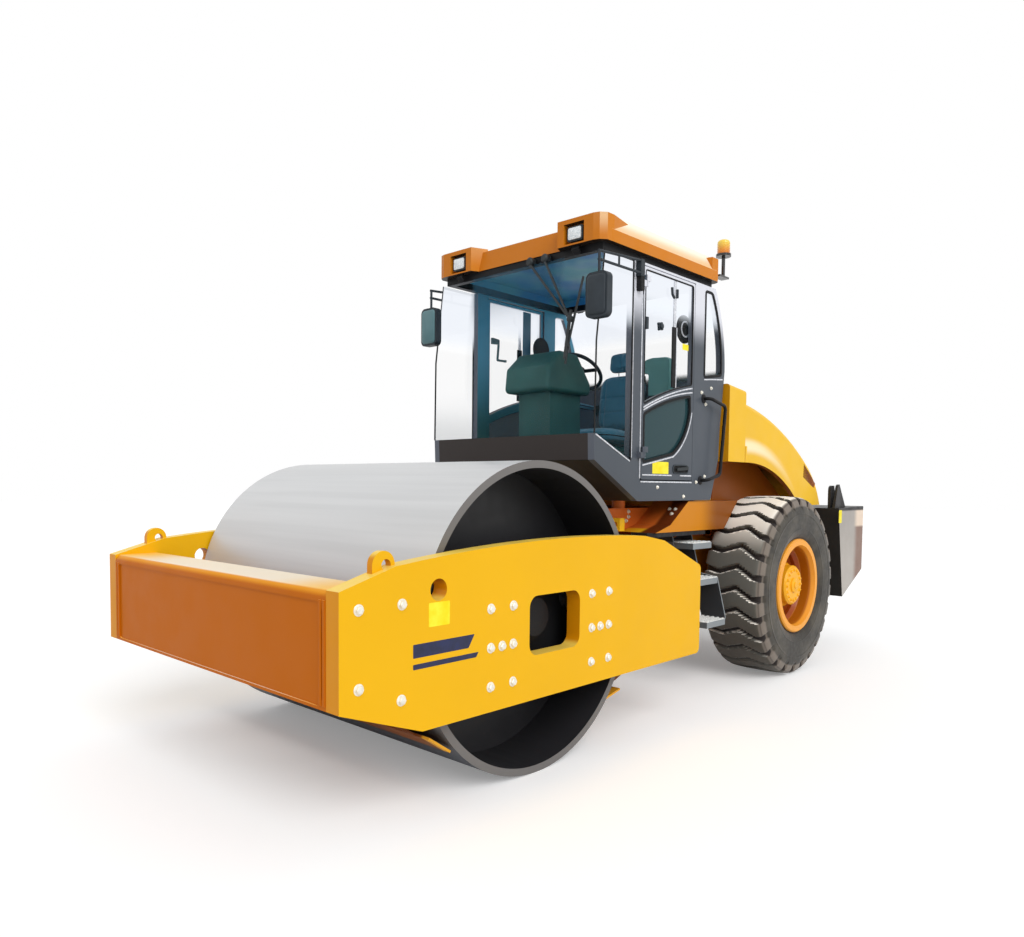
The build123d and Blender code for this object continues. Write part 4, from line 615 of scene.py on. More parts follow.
def flat_bar(points, width, thick):
    """Rounded bar along points in space, with its thickness along X."""
    return along(points, bar(width, thick), up=(1, 0, 0))


def slab(outline, centre, layers):
    """Outline of (y, z) round a centre: one copy for each (x, size)."""
    rows = [np.c_[np.full(len(outline), x), np.asarray(centre) + size * outline] for x, size in layers]
    return shell(np.stack(rows))


def side_lathe(profile, sign, place, steps, cover=shell):
    """Profile of (radius, rise) turned about a cross axis, standing outwards from a place."""
    return cover(lathed(profile, steps) * (1, sign, 1) + place)


# ================================================================ fasteners
def bolt(head, washer, height):
    """Washer, six-sided head and shallow dome, standing along +Y."""
    flat = [(washer, 0), (washer, 0.003), (washer - 0.002, 0.0045), (head, 0.0045)]
    hexagon = [(head, 0.003), (head, height - 0.003), (head - 0.003, height), (0.006, height + 0.001)]
    return joined(shell(lathed(flat, 18)), shell(lathed(hexagon, 6)))


def side_bolts(name, places, y, sign, body, size, finish=zinc):
    """Bolts on a side face at (station, height) places; size is (head, washer, height)."""
    turn = np.diag([1.0, sign, 1.0])
    put(name, [stamped(*bolt(*size), side_path(places, sign * y), turn)], finish, body)


PLATE_BOLTS = [(s * c, 0.768 + r) for s in (-1, 1) for c in (0.327, 0.489) for r in (-0.193, 0.193)] \
    + [(s * c, 0.768) for s in (-1, 1) for c in (0.327, 0.408, 0.489)] \
    + [(1.282, 1.039), (1.049, 1.04), (1.282, 0.704), (1.052, 0.616)]
for side, sign in SIDES:
    side_bolts(f"plate_bolts_{side}", PLATE_BOLTS, PLATE_Y - SUNK, sign, "front_frame", (0.019, 0.026, 0.018))

# stripes and a blank label on each plate
STRIPES = (((0.984, 0.852), (0.984, 0.79), (0.64, 0.79), (0.6, 0.852)),
           ((0.984, 0.762), (0.984, 0.738), (0.588, 0.738), (0.572, 0.762)))
navy = plain("stripe_navy", "141B3C", "1B2450", 20.0, (0.3, 0.4), 0)
label_yellow = plain("label_yellow", "F4DE12", "FBEF3C", 15.0, (0.35, 0.45), 0, Specular_IOR_Level=0.2)
for side, sign in SIDES:
    stripes = [sticker(rounded(s, 0.004, 3), PLATE_Y, sign) for s in STRIPES]
    put(f"plate_stripes_{side}", stripes, navy, "front_frame")
    label = sticker(quad(0.892, 0.763, 0.92, 1.03, 0.006), PLATE_Y, sign)
    put(f"plate_label_{side}", [label], label_yellow, "front_frame")


# ================================================================ tyres
def tread(angle, y, half):
    """1 on a bar, 0 in a groove. The grooves lie at even steps of angle, moved by a zigzag across
    the tread, and their walls are smooth steps."""
    zigzag = np.interp(y / half, [-1.3, -1.0, -0.5, 0.25, 0.9, 1.3], [0.04, 0.0, -0.15, 0.16, -0.32, -0.35])
    phase = np.abs((angle * LUGS / (2 * math.pi) - zigzag + 0.5) % 1.0 - 0.5)
    half_groove = np.interp(np.abs(y / half), [0, 0.9, 1.15, 1.3], [0.085, 0.095, 0.14, 0.18])
    t = np.clip((phase - half_groove) / 0.035, 0, 1)
    return t * t * (3 - 2 * t)


def tyre_surface(sign):
    """Grid of angle by section: each point lies between the groove floor and the bar top, by tread()."""
    outer = [(.345, 0), (.345, .216), (.399, .217), (.412, .236), (.45, .2545), (.47, .26), (.474, .2625),
             (.48, .2612), (.5, .2635), (.56, .2655), (.596, .264), (.6, .266), (.606, .2632), (.61, .2625),
             (.64, .259), (.662, .2545), (.698, .2465), (.722, .233), (.736, .216), (.7405, .19), (.743, .15),
             (.745, .1), (.7458, .05), (.746, 0)]
    floor = [*outer[:15], (.652, .249), (.672, .237), (.688, .221), (.698, .202), (.703, .18), (.706, .15),
             (.708, .1), (.709, .05), (.7095, 0)]
    both = [np.concatenate([np.array(p) * (1, -1), np.array(p)[::-1][1:-1]]) for p in (outer, floor)]
    steps = np.arange(len(both[0]) + 1)
    fine = np.linspace(0, len(both[0]), 96, endpoint=False)
    top, low = [np.stack([np.interp(fine, steps, np.append(b[:, k], b[0, k])) for k in (0, 1)], -1)
                for b in both]
    angle = np.linspace(0, 2 * math.pi, LUGS * 30, endpoint=False)[:, None]
    section = low + (top - low) * tread(angle, top[None, :, 1], 0.203)[..., None]
    return np.stack([AXLE_X + section[..., 0] * np.cos(angle), sign * (TYRE_Y + section[..., 1]),
                     AXLE_Z + section[..., 0] * np.sin(angle)], -1)


for side, sign in SIDES:
    made = put(f"tread_tyre_{side}", [closed_grid(tyre_surface(sign))], tyre_rubber, f"wheel_{side}",
               crease=50)
    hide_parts(f"tyre_{side}")

# hub bolts and caps
HUB_Y = TYRE_Y + 0.205 - SUNK
HUB_CIRCLE = ring(0.128, 16) + (AXLE_X - DRUM_X, AXLE_Z)
HUB_CAP = [(0.062, 0), (0.062, 0.01), (0.056, 0.015), (0.03, 0.017), (0.028, 0.024), (0.004, 0.026)]
for side, sign in SIDES:
    side_bolts(f"hub_bolts_{side}", HUB_CIRCLE, HUB_Y, sign, f"wheel_{side}", (0.01, 0.014, 0.012), rim_paint)
    put(f"hub_cap_{side}", [side_lathe(HUB_CAP, sign, (AXLE_X, sign * HUB_Y, AXLE_Z), 32)], rim_paint,
        f"wheel_{side}")


# ================================================================ cab seals and trims
def loop(outline, step=0.008, ease=2):
    """Closed outline resampled at even steps and eased by a running mean, which rounds its corners."""
    p = np.asarray(outline, float)
    p = np.concatenate([p, p[:1]])
    run = np.append(0, np.cumsum(np.linalg.norm(np.diff(p, axis=0), axis=1)))
    t = np.arange(0, run[-1] - step / 2, step)
    even = np.stack([np.interp(t, run, p[:, k]) for k in range(p.shape[1])], -1)
    return sum(np.roll(even, n, 0) for n in range(-ease, ease + 1)) / (2 * ease + 1)


def widened(outline, by):
    """Closed outline moved outwards: each point goes by along its normal."""
    p = np.asarray(outline, float)
    ahead = np.roll(p, -1, 0) - np.roll(p, 1, 0)
    ahead /= np.linalg.norm(ahead, axis=1, keepdims=True)
    turning = np.sign(np.sum(p[:, 0] * np.roll(p[:, 1], -1) - np.roll(p[:, 0], -1) * p[:, 1]))
    return p + by * turning * np.stack([ahead[:, 1], -ahead[:, 0]], -1)


UPPER_WINDOW = [*arc3((-1.465, 2.138), (-1.781, 2.252), (-2.105, 2.326), 16),
                (-2.105, 3.055), (-1.465, 3.055)]
LOWER_WINDOW = [*arc3((-1.465, 2.07), (-1.783, 2.184), (-2.088, 2.243), 16),
                *arc3((-2.095, 2.127), (-2.016, 1.94), (-1.852, 1.8), 14), (-1.465, 1.73)]
QUARTER_WINDOW = [(-2.4, 3.06), (-2.287, 3.06), (-2.287, 2.4), (-2.56, 2.44),
                  *arc3((-2.56, 2.44), (-2.52, 2.79), (-2.4, 3.06), 14)[1:-1]]
DOOR_GAP = [(-1.439, 1.609), (-2.134, 1.609), (-2.134, 3.081), (-1.439, 3.081)]
# bright arcs below the upper window, above the lower one and round the lower one's swept corner
DOOR_TRIMS = (arc3((-1.458, 2.112), (-1.781, 2.228), (-2.112, 2.302), 20),
              arc3((-1.458, 2.094), (-1.783, 2.208), (-2.112, 2.27), 20),
              [*arc3((-2.112, 2.12), (-2.03, 1.93), (-1.858, 1.782), 16), (-1.458, 1.712)],
              [(-1.458, 1.645), (-1.84, 1.646)],
              [(-1.96, 1.646), (-2.118, 1.646)])
# drip rail under the door, waist lines behind and ahead of it, bright edges of its front post
CAB_TRIMS = ([(-1.44, 1.597), (-2.13, 1.597)],
             [(-2.29, 2.386), (-2.4, 2.398), (-2.575, 2.414)],
             [(-0.915, 1.9), (-1.305, 1.736)],
             [(-1.322, 1.76), (-1.322, 3.085)],
             [(-1.428, 1.62), (-1.428, 2.88)])
# where the screen meets the corner glass, where that meets the post, and over it
CORNER_SEALS = ((0.012, [(-0.901, 1.907), (-0.908, 2.5), (-0.985, 3.098)]),
                (0.016, [(-1.314, 1.742), (-1.314, 3.098)]),
                (0.02, [(-0.99, 3.09), (-1.314, 3.09)]))
TRIM_Y = CAB_Y + 0.001
for side, sign in SIDES:
    door, y = f"door_{side}", sign * DOOR_Y
    seals = [strip(widened(loop(window), by), y - sign * 0.002, width, 0.01, closed=True)
             for window, by, width in ((UPPER_WINDOW, 0.001, 0.009), (LOWER_WINDOW, -0.004, 0.02))]
    put(f"door_seals_{side}", seals, rubber, door)
    trims = [strip(line, y + sign * 0.001, 0.01, 0.006) for line in DOOR_TRIMS]
    put(f"door_trims_{side}", trims, trim, door)
    outline = widened(loop(QUARTER_WINDOW, ease=3), -0.004)
    seal = strip(outline, sign * (CAB_Y - 0.001), 0.02, 0.01, closed=True)
    put(f"quarter_seal_{side}", [seal], rubber, "rear_frame")
    seal = strip(loop(DOOR_GAP), sign * (CAB_Y - 0.02), 0.006, 0.012, closed=True)
    put(f"door_frame_seal_{side}", [seal], rubber, "rear_frame")
    trims = [strip(line, sign * TRIM_Y, 0.01, 0.006) for line in CAB_TRIMS]
    put(f"cab_trims_{side}", trims, trim, "rear_frame")
    seals = [strip(line, sign * TRIM_Y, width, 0.006) for width, line in CORNER_SEALS]
    put(f"corner_seals_{side}", seals, rubber, "rear_frame")

# window divider, catches, latch knob, blank notices, handle in its cup, bolts
CATCHES = ([(-1.8, 2.995), (-1.806, 2.945), (-1.836, 2.925)], [(-1.874, 2.992), (-1.874, 2.93)])
CAB_BOLTS = [(-1.659, 1.559), (-2.02, 1.492), (-2.325, 1.645), (-2.2, 1.6), (-2.256, 2.285), (-2.32, 2.2),
             (-2.4, 2.33)]
for side, sign in SIDES:
    door, y = f"door_{side}", sign * 0.757
    low = strip([(-1.862, 2.285), (-1.862, 2.72)], y, 0.056, 0.012)
    put(f"divider_low_{side}", [low], rubber, door)
    high = strip([(-1.862, 2.721), (-1.862, 3.05)], y, 0.03, 0.01)
    edge = strip([(-1.886, 2.285), (-1.886, 2.72)], y + sign * 0.002, 0.01, 0.01)
    put(f"divider_high_{side}", [high, edge], trim, door)
    catches = [strip(rounded(line, 0.012, 4, closed=False), y + sign * 0.012, 0.016, 0.014)
               for line in CATCHES]
    if side == "left":
        knob = np.array([DRUM_X - 1.671, 0.7505, 2.7])
        disc = [(0.027, 0), (0.027, 0.012), (0.02, 0.016), (0.02, 0.026), (0.014, 0.03)]
        catches.append(strip([(-1.482, 2.655), (-1.482, 2.735)], 0.762, 0.03, 0.03))
        catches.append(side_lathe(disc, 1, knob, 20))
        for a in np.linspace(0, 2 * math.pi, 5)[:4] + 0.6:
            ear = knob + 0.026 * np.array([math.cos(a), 0, math.sin(a)])
            catches.append(side_lathe([(0.01, 0), (0.01, 0.014), (0.006, 0.016)], 1, ear, 10))
    put(f"window_catches_{side}", catches, dark_plastic, door)
    notices = [sticker(quad(-1.588, -1.8, 1.656, 1.742, 0.006), DOOR_Y, sign),
               plate(quad(-1.99, -2.075, 2.578, 2.622, 0.004), sign * 0.7498, sign * 0.7506)]
    put(f"door_notices_{side}", notices, label_yellow, door)
    outline = quad(-1.862, -2.07, 1.664, 1.722, 0.026, 8)
    cup = strip(outline, sign * (DOOR_Y + 0.002), 0.01, 0.008, closed=True)
    put(f"handle_cup_{side}", [cup], dark_plastic, door)
    floor = sticker(quad(-1.866, -2.066, 1.668, 1.718, 0.022, 8), DOOR_Y, sign)
    put(f"handle_floor_{side}", [floor], rubber, door)
    outline = rounded([(-1.9, 1.68), (-1.9, 1.7), (-2.058, 1.716), (-2.058, 1.69)], 0.008, 5)
    lever = plate(outline, sign * (DOOR_Y + 0.0008), sign * (DOOR_Y + 0.016))
    put(f"handle_lever_{side}", [lever], lever_grip, door)
    side_bolts(f"cab_bolts_{side}", CAB_BOLTS, CAB_Y - SUNK, sign, "rear_frame", (0.01, 0.014, 0.012))

# right door: latch handle that hangs inside, from a block on the front stile to a short foot
arm = rounded([(-1.545, 2.752), (-1.585, 2.735), (-1.572, 2.6), (-1.655, 2.602)], 0.01, 4, closed=False)
block = rounded([(-1.5, 2.725), (-1.5, 2.778), (-1.59, 2.77), (-1.59, 2.73)], 0.01, 4)
foot = quad(-1.65, -1.675, 2.592, 2.612, 0.006, 3)
stile = strip([(-1.938, 2.31), (-1.938, 3.05)], -0.744, 0.1, 0.006)
put("window_stile_right", [stile], post_blue, "door_right")
put("latch_handle_right", [strip(arm, -0.742, 0.018, 0.012), plate(block, -0.735, -0.7495),
                           plate(foot, -0.733, -0.749)], shell_teal, "door_right")

# moulded locker in the rear corner behind the seat, with an overhung front end
locker = rounded([(0.172, 2.49), (0.158, 2.52), (0.166, 2.562), (0.204, 2.598), (0.262, 2.609),
                  (0.396, 2.604), (0.432, 2.585), (0.432, 2.3), (0.234, 2.3), (0.234, 2.468),
                  (0.222, 2.488)], 0.008, 4)
centre = (0.32, 2.46)
layers = [(DRUM_X + x, size) for x, size in ((-2.395, 0.97), (-2.385, 1.0), (-2.345, 1.0), (-2.335, 0.97))]
put("rear_locker", [slab(locker - centre, centre, layers)], panel_teal, "rear_frame")

# rail feet
FOOT = [(0.034, 0), (0.034, 0.004), (0.022, 0.008), (0.016, 0.01)]
for side, sign in SIDES:
    feet = [side_lathe(FOOT, sign, (DRUM_X + station, sign * (CAB_Y + 0.0004), z), 24)
            for station, z in ((-2.29, 2.24), (-2.262, 1.615))]
    put(f"rail_feet_{side}", feet, black_paint, "rear_frame")

# round guard and its ring on the inner side of each door post
DOME = [(0.105, 0), (0.105, 0.008), (0.09, 0.013), (0.05, 0.014)]
HOOP = [(0.062, 0.0135), (0.062, 0.017), (0.05, 0.017), (0.05, 0.0135)]
for side, sign in SIDES:
    post = (DRUM_X - 2.085, sign * 0.7, 2.745)
    put(f"post_guard_{side}", [side_lathe(DOME, sign, post, 32)], rubber, "rear_frame")
    put(f"post_guard_ring_{side}", [side_lathe(HOOP, sign, post, 32, closed_grid)], trim, "rear_frame")


# ================================================================ wiper
def on_screen(y, z, proud):
    """Point in front of the windscreen, whose station is -0.905 up to 2.5 and then rakes back."""
    y, z = np.asarray(y, float), np.asarray(z, float)
    station = -0.905 - 0.075 / 0.598 * np.maximum(z - 2.5, 0)
    return np.stack([DRUM_X + station + proud, y, z], -1)


PIVOT = (0.552, 2.662)
MOTOR_YS = (0.15, 0.285)
arms = [flat_bar(on_screen(np.linspace(y, PIVOT[0], 3), np.linspace(3.102, PIVOT[1], 3), 0.03), 0.016, 0.008)
        for y in MOTOR_YS]
grip = flat_bar(on_screen([0.556, PIVOT[0], 0.53], [2.72, PIVOT[1], 2.4], 0.026), 0.022, 0.012)
blade = flat_bar(on_screen(np.linspace(0.622, 0.524, 12), np.linspace(2.935, 2.37, 12), 0.01), 0.01, 0.016)
hub = lathed([(0.022, 0), (0.022, 0.02), (0.014, 0.026)], 16)[..., [1, 0, 2]]
hub = shell(hub + on_screen(*PIVOT, 0.012))
motor = lathed([(0.03, 0), (0.03, 0.04), (0.02, 0.05)], 16)[..., [1, 0, 2]]
motors = [shell(motor + (DRUM_X - 0.988, y, 3.115)) for y in MOTOR_YS]
put("wiper", [*arms, grip, blade, hub, *motors], lever_grip, "rear_frame")

# ================================================================ lamps, mirrors, beacon
lamp_low, lamp_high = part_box("work_lamps")
LAMP_Y, LAMP_Z = 0.55, (lamp_low.z + lamp_high.z) / 2
LENS = rounded([(-0.053, -0.038), (0.053, -0.038), (0.053, 0.038), (-0.053, 0.038)], 0.012, 5)
for end, x, way in (("front", lamp_high.x, 1), ("rear", lamp_low.x, -1)):
    layers = [(x, 1.0), (x + way * 0.0064, 1.0), (x + way * 0.008, 0.94)]
    lenses = [slab(LENS, (sign * LAMP_Y, LAMP_Z), layers) for _, sign in SIDES]
    put(f"lamp_lenses_{end}", lenses, lens, "rear_frame")
    brackets = [flat_bar([(x - way * back, sign * LAMP_Y, LAMP_Z - drop)
                          for back, drop in ((0.02, 0.047), (0.005, 0.1), (0.03, 0.125))], 0.06, 0.01)
                for _, sign in SIDES]
    put(f"lamp_brackets_{end}", brackets, black_paint, "rear_frame")

MIRROR_X, MIRROR_Y, MIRROR_Z = DRUM_X - 0.885, 0.797, 2.775
MIRROR = rounded([(-0.072, -0.127), (0.072, -0.127), (0.072, 0.127), (-0.072, 0.127)], 0.03, 8)
MIRROR_SIDES = (("glass", -1, (0.004, 0.004), mirror_glass, mirror_glass, "glass"),
                ("back", 1, (0.0075, 0.012), dark_plastic, shell_teal, "dark_plastic"))
for side, sign in SIDES:
    for name, way, (crown, top), finish_left, finish_right, slot in MIRROR_SIDES:
        layers = [(MIRROR_X + way * (0.028 + depth - SUNK), size)
                  for depth, size in ((0.0, 1.0), (0.003, 1.0), (crown, 0.97), (top, 0.86))]
        mirror = slab(MIRROR, (sign * MIRROR_Y, MIRROR_Z), layers)
        put(f"mirror_{name}_{side}", [mirror], finish_left if side == "left" else finish_right, "rear_frame")
    # rubber boot where the arms meet the post
    boot = plate(quad(-1.352, -1.392, 2.89, 3.09, 0.01), sign * (CAB_Y + 0.0015), sign * (CAB_Y + 0.04))
    put(f"mirror_clamp_{side}", [boot], rubber, "rear_frame")

ribs = []
for z in np.linspace(3.404, 3.468, 6):
    rib = lathed([(0.047, z - 0.004), (0.0495, z), (0.047, z + 0.004), (0.044, z)], 32)
    ribs.append(closed_grid(rib[..., [0, 2, 1]] + (DRUM_X - 2.56, 0.76, 0)))
put("beacon_ribs", ribs, amber, "rear_frame")


# ================================================================ steps, deck, vents, ballast notices
def teeth(x_range, y_range, z, columns, rows):
    """Even rows of small pyramids with flat tops standing on a tread."""
    x, y = np.meshgrid(np.linspace(*x_range, columns), np.linspace(*y_range, rows), indexing="ij")
    square = np.array([(-1, -1), (1, -1), (1, 1), (-1, 1)])
    low, high = square * (0.0085, 0.011), square * (0.004, 0.007)
    v = np.concatenate([np.c_[low, np.zeros(4)], np.c_[high, np.full(4, 0.009)]])
    f = [(0, 1, 5, 4), (1, 2, 6, 5), (2, 3, 7, 6), (3, 0, 4, 7), (4, 5, 6, 7), (3, 2, 1, 0)]
    return stamped(v, f, np.stack([x.ravel(), y.ravel(), np.full(x.size, z)], -1))


SKIRT_SLOPE = math.atan2(0.174, 0.25)
c, s = math.cos(SKIRT_SLOPE), math.sin(SKIRT_SLOPE)
skirt_turn = np.array([[c, s, 0], [0, 0, 1], [-s, c, 0]])
for side, sign in SIDES:
    rows = [teeth((DRUM_X - 2.385, DRUM_X - 2.125), (sign * inner, sign * outer), tread_z - SUNK, 12, 5)
            for tread_z, inner, outer in zip(TREAD_HEIGHTS, (0.62, 0.7, 0.75), (0.785, 0.85, 0.92))]
    put(f"tread_teeth_{side}", rows, tooth_steel, "rear_frame", crease=20)
    plugs = [(-1.765, 1.375), (-1.765, 1.335), (-1.735, 1.305), (-2.06, 1.3)]
    side_bolts(f"neck_plugs_{side}", plugs, 0.4495, sign, "rear_frame", (0.011, 0.016, 0.016))
    spots = [(DRUM_X - 2.035, sign * 0.69, 1.393), (DRUM_X - 2.035, sign * 0.64, 1.393),
             (DRUM_X - 1.985, sign * 0.69, 1.3582)]
    put(f"skirt_bolts_{side}", [stamped(*bolt(0.011, 0.016, 0.014), spots, skirt_turn)], zinc, "rear_frame")

# slats across the hood's side recess
top_line, low_line = np.array([[(-4.18, 1.79), (-4.475, 1.6)], [(-4.17, 1.665), (-4.43, 1.56)]])
for side, sign in SIDES:
    slats = []
    for share in np.linspace(0.1, 0.9, 7):
        start, end = top_line * (1 - share) + low_line * share
        slats.append(strip([start + t * (end - start) for t in (0.04, 0.96)], sign * 0.7665, 0.007, 0.006))
    put(f"hood_slats_{side}", slats, fender_paint, "hood")
    patch = plate(quad(-4.552, -4.622, 1.228, 1.352, 0.008, 5), sign * 0.9695, sign * 0.9715)
    put(f"ballast_notice_{side}", [patch], label_yellow, "rear_frame")

# grille slats across the hood's steep rear end: station, height, lean of the skin
HOOD_REAR = ((-4.351, 1.749, 0.636), (-4.379, 1.728, 0.677), (-4.406, 1.705, 0.717), (-4.432, 1.682, 0.758),
             (-4.457, 1.657, 0.799), (-4.481, 1.631, 0.839), (-4.504, 1.605, 0.88), (-4.526, 1.577, 0.921),
             (-4.547, 1.549, 0.961), (-4.566, 1.52, 1.002), (-4.585, 1.49, 1.043))
slats = []
for station, z, lean in HOOD_REAR:
    off = np.array([-math.sin(lean), 0, math.cos(lean)])
    middle = np.array([DRUM_X + station, 0, z]) + 0.002 * off
    slats.append(along(middle + np.array([[0, y, 0] for y in (-0.46, 0, 0.46)]), bar(0.012, 0.01), up=off))
put("rear_grille", slats, black_paint, "hood")

# ridges beside the beam's front panel and bolted straps under it
BEAM_X, BEAM_Z = DRUM_X + 1.381, 0.612
for side, sign in SIDES:
    ridges = [flat_bar([(BEAM_X - 0.001, sign * y, z) for z in (0.63, 1.08)], 0.018, 0.01)
              for y in (1.088, 1.06)]
    put(f"beam_ridges_{side}", ridges, beam_paint, "front_frame")
straps = [along([(BEAM_X - 0.11, y, BEAM_Z - 0.004) for y in ends], bar(0.04, 0.01), up=(0, 0, 1))
          for ends in ((-0.617, -0.33), (-0.042, 0.136))]
head = lathed([(0.012, 0), (0.012, -0.014), (0.008, -0.018)], 12)[..., [0, 2, 1]]
heads = [shell(head + (BEAM_X - 0.11, y, BEAM_Z - 0.008)) for y in (-0.5, -0.36, 0.0, 0.105)]
put("beam_straps", [*straps, *heads], cast, "front_frame")

# ================================================================ seat
seat_cloth = Finish("seat_cloth", Sheen_Weight=0.4, Sheen_Roughness=0.5, Specular_IOR_Level=0.2)
weave = seat_cloth.noise(420.0, 1.0, (1, 0.2, 1)) * seat_cloth.noise(420.0, 1.0, (1, 1, 0.2))
cloth_tone = seat_cloth.noise(6.0, 3.0).ramp(0.3, 0.7).mix("3A7490", "4484A2")
seat_cloth.set("Base Color", weave.ramp(0.15, 0.35).mix(cloth_tone, "4A869E"))
seat_cloth.rough(0.75, 0.9, 30.0)
seat_cloth.bump(weave, 0.35, 0.0015)


def soft_block(half, power, rows=44, columns=88):
    """Superellipsoid: x = a C(v) C(u), y = b C(v) S(u), z = c S(v), where C and S are cos and sin
    with their size raised to a power below one."""
    u = np.linspace(0, 2 * math.pi, columns, endpoint=False)[None, :]
    v = np.linspace(-1.5, 1.5, rows)[:, None]
    ease = lambda w, k: np.sign(w) * np.abs(w) ** k
    girth = ease(np.cos(v), power)
    return np.stack([half[0] * girth * ease(np.cos(u), power), half[1] * girth * ease(np.sin(u), power),
                     half[2] * ease(np.sin(v), power) + 0 * u], -1)


def coordinates(mesh):
    """Vertex positions of a mesh as one array."""
    flat = np.empty(len(mesh.vertices) * 3)
    mesh.vertices.foreach_get("co", flat)
    return flat.reshape(-1, 3)


def evaluated(made):
    """Mesh of a piece with its modifiers applied."""
    return bpy.data.meshes.new_from_object(made.evaluated_get(bpy.context.evaluated_depsgraph_get()))


def filled(made, cap, voxel=0.006, pressure=4.0, last_tick=20):
    """Blows the closed cloth up from inside, with gravity off; no point moves further than cap."""
    remesh = made.modifiers.new("even_cloth", "REMESH")
    remesh.mode, remesh.voxel_size, remesh.use_smooth_shade = "VOXEL", voxel, True
    made.data = evaluated(made)
    made.modifiers.clear()
    start = coordinates(made.data)
    cloth = made.modifiers.new("air", "CLOTH")
    cloth.settings.use_pressure = True
    cloth.settings.uniform_pressure_force = pressure
    cloth.settings.effector_weights.gravity = 0
    for tick in range(1, last_tick + 1):
        scene.frame_set(tick)
    move = coordinates(evaluated(made)) - start
    reach = np.linalg.norm(move, axis=1, keepdims=True)
    made.modifiers.clear()
    ended = start + move * np.minimum(1, cap / np.maximum(reach, 1e-9))
    made.data.vertices.foreach_set("co", ended.ravel())
    made.data.shade_smooth()
    scene.frame_set(1)


def cushion(name, half, centre, lean, channels, cap=0.01, width=0.007):
    """Pad with sewn channels across its face and piping round its edge. A channel sinks the face by
    depth times exp(-(distance / width)^2)."""
    c, s = math.cos(lean), math.sin(lean)
    turn = np.array([[c, 0, s], [0, 1, 0], [-s, 0, c]])
    grid = soft_block(half, power=0.42)
    v, f = shell(grid)
    made = put(name, [(v @ turn.T + centre, f)], seat_cloth, "rear_frame", crease=80)
    filled(made, cap)
    local = (coordinates(made.data) - centre) @ turn
    on_face = np.clip(local[:, 2] / half[2], 0, 1)
    for axis, place, depth in channels:
        sink = depth * np.exp(-((local[:, axis] - place) / width) ** 2) * on_face
        local[:, 2] -= sink
    made.data.vertices.foreach_set("co", (local @ turn.T + centre).ravel())
    made.data.materials.clear()
    made.data.materials.append(seat_cloth.material)
    smooth = made.modifiers.new("smooth", "SUBSURF")
    smooth.levels = smooth.render_levels = 1
    ridge = grid[len(grid) // 2]
    skin = local[np.abs(local[:, 2]) < 0.012]
    nearest = skin[np.argmin(np.linalg.norm(ridge[:, None, :2] - skin[None, :, :2], axis=2), axis=1)]
    path = np.c_[nearest[:, :2], np.zeros(len(ridge))]
    path = sum(np.roll(path, n, 0) for n in (-1, 0, 1)) / 3
    put(f"{name}_piping", [along(path @ turn.T + centre, ring(0.0045, 8), up=turn[:, 2], closed=True)],
        rubber, "rear_frame")
    return made


seat_pad = cushion("seat_cushion", (0.205, 0.225, 0.052), (DRUM_X - 2.018, 0, 1.957), math.radians(-2.5),
                   ((0, 0.06, 0.01), (0, -0.07, 0.01), (1, 0.15, 0.012), (1, -0.15, 0.012)))
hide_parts("seat")
cushion("seat_back", (0.235, 0.22, 0.048), (DRUM_X - 2.302, 0, 2.255), math.radians(84), (
    (0, 0.08, 0.008), (0, -0.04, 0.008), (1, 0.14, 0.01), (1, -0.14, 0.01)))
cushion("seat_headrest", (0.078, 0.125, 0.034), (DRUM_X - 2.322, 0, 2.592), math.radians(84),
        ((1, 0.0, 0.005),), cap=0.006)
for side, sign in SIDES:
    cushion(f"seat_armrest_{side}", (0.15, 0.026, 0.018), (DRUM_X - 2.125, sign * 0.272, 2.235),
            math.radians(-3), (), cap=0.004)
    hinge = plate(rounded([(-2.26, 2.2), (-2.26, 2.25), (-2.32, 2.25), (-2.32, 2.16)], 0.012, 4),
                  sign * 0.238, sign * 0.262)
    strut = strip([(-2.275, 2.215), (-2.06, 2.218)], sign * 0.268, 0.018, 0.012)
    put(f"armrest_frame_{side}", [hinge, strut], dark_plastic, "rear_frame")
posts = [along([(DRUM_X - 2.325, y, 2.46), (DRUM_X - 2.328, y, 2.54)], ring(0.006, 10))
         for y in (-0.05, 0.05)]
put("headrest_posts", posts, chrome, "rear_frame")
shell_back = plate(rounded([(-2.345, 2.02), (-2.352, 2.02), (-2.378, 2.3), (-2.366, 2.47),
                            (-2.358, 2.47)], 0.002, 3), -0.19, 0.19)
put("seat_back_shell", [shell_back], dark_plastic, "rear_frame")


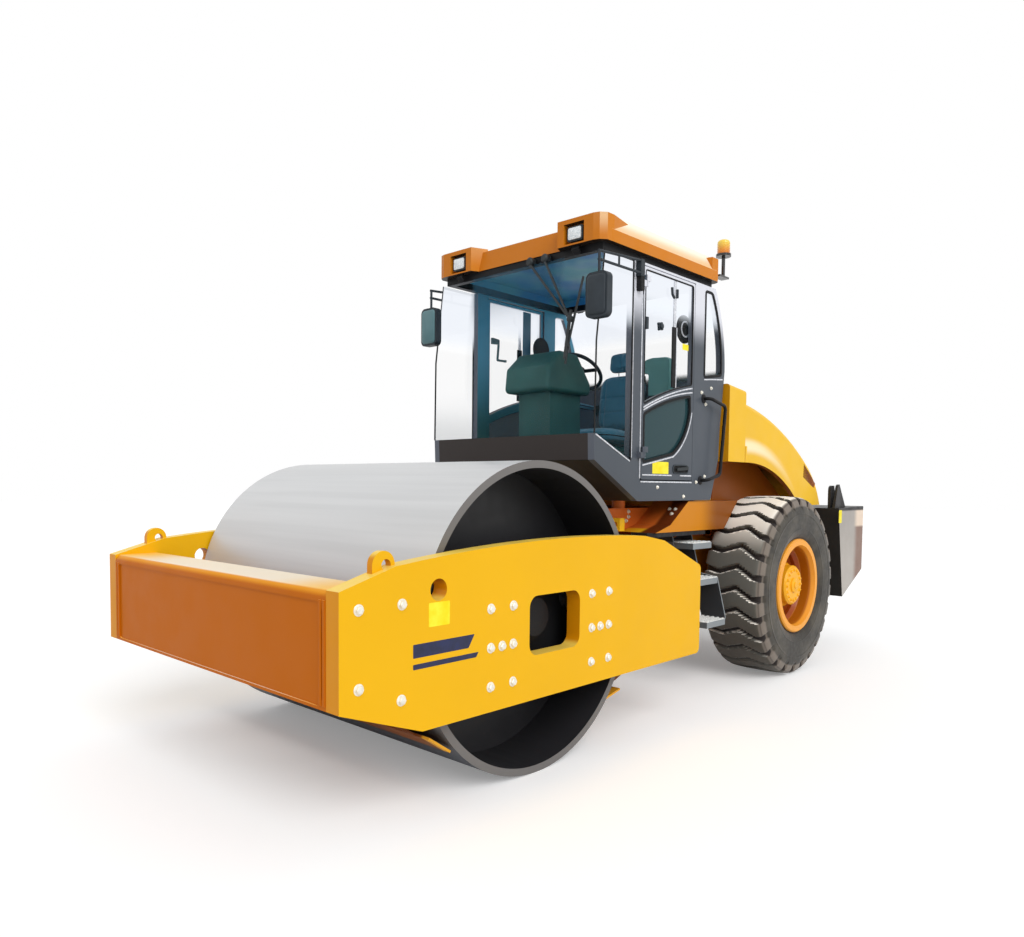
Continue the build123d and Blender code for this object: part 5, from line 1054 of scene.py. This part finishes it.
# ================================================================ studio
def studio():
    """White surroundings for the camera, gloss and glass; a gentler white lights the paint."""
    world = bpy.data.worlds.new("studio")
    light = Wiring(world, "Background")
    camera_ray, *other_rays = (light.output(f"Is {kind} Ray", "LightPath", {})
                               for kind in ("Camera", "Glossy", "Transmission"))
    seen = camera_ray.maths("MAXIMUM", other_rays[0].maths("MAXIMUM", other_rays[1]))
    light.set("Strength", seen.ramp(0, 1, 0.66, 1.0))
    light.set("Color", "FFFFFF")
    scene.world = world
    sun = bpy.data.objects.new("key_light", bpy.data.lights.new("key_light", "SUN"))
    sun.data.energy, sun.data.angle = 1.55, 0.7
    sun.rotation_euler = Vector((0.3, 0.8, 0.66)).to_track_quat("Z", "Y").to_euler()
    scene.collection.objects.link(sun)
    size = 60
    mesh = bpy.data.meshes.new("floor")
    mesh.from_pydata([(-size, -size, 0), (size, -size, 0), (size, size, 0), (-size, size, 0)], [],
                     [(0, 1, 2, 3)])
    floor = bpy.data.objects.new("floor", mesh)
    scene.collection.objects.link(floor)
    white = Finish("floor_white", Roughness=0.9, Specular_IOR_Level=0.0, Base_Color=(0.92, 0.92, 0.92, 1),
                   Emission_Color="FFFFFF")
    camera_ray = white.output("Is Camera Ray", "LightPath", {})
    white.set("Emission Strength", camera_ray.ramp(0, 1, 0.0, 0.22))
    mesh.materials.append(white.material)
    floor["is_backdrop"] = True


def place_camera():
    """Camera turned by yaw, pitch and roll, as direction, right and up columns."""
    yaw, pitch, roll = -2.379, -0.051, 0.009
    direction = Vector((math.cos(pitch) * math.cos(yaw), math.cos(pitch) * math.sin(yaw), math.sin(pitch)))
    right = direction.cross(Vector((0, 0, 1))).normalized()
    up = right.cross(direction)
    right, up = right * math.cos(roll) + up * math.sin(roll), up * math.cos(roll) - right * math.sin(roll)
    data = bpy.data.cameras.new("camera")
    data.lens, data.sensor_width = 28.07, 36.0
    data.shift_x, data.shift_y = 0.0167, 0.0559
    camera = bpy.data.objects.new("camera", data)
    scene.collection.objects.link(camera)
    place = Vector((DRUM_X + 3.276, 3.878, 1.565))
    camera.matrix_world = Matrix([(right[i], up[i], -direction[i], place[i]) for i in range(3)]
                                 + [(0, 0, 0, 1)])
    scene.camera = camera


studio()
place_camera()
scene.view_settings.view_transform = "Standard"
note_size("shown_box", sizes)
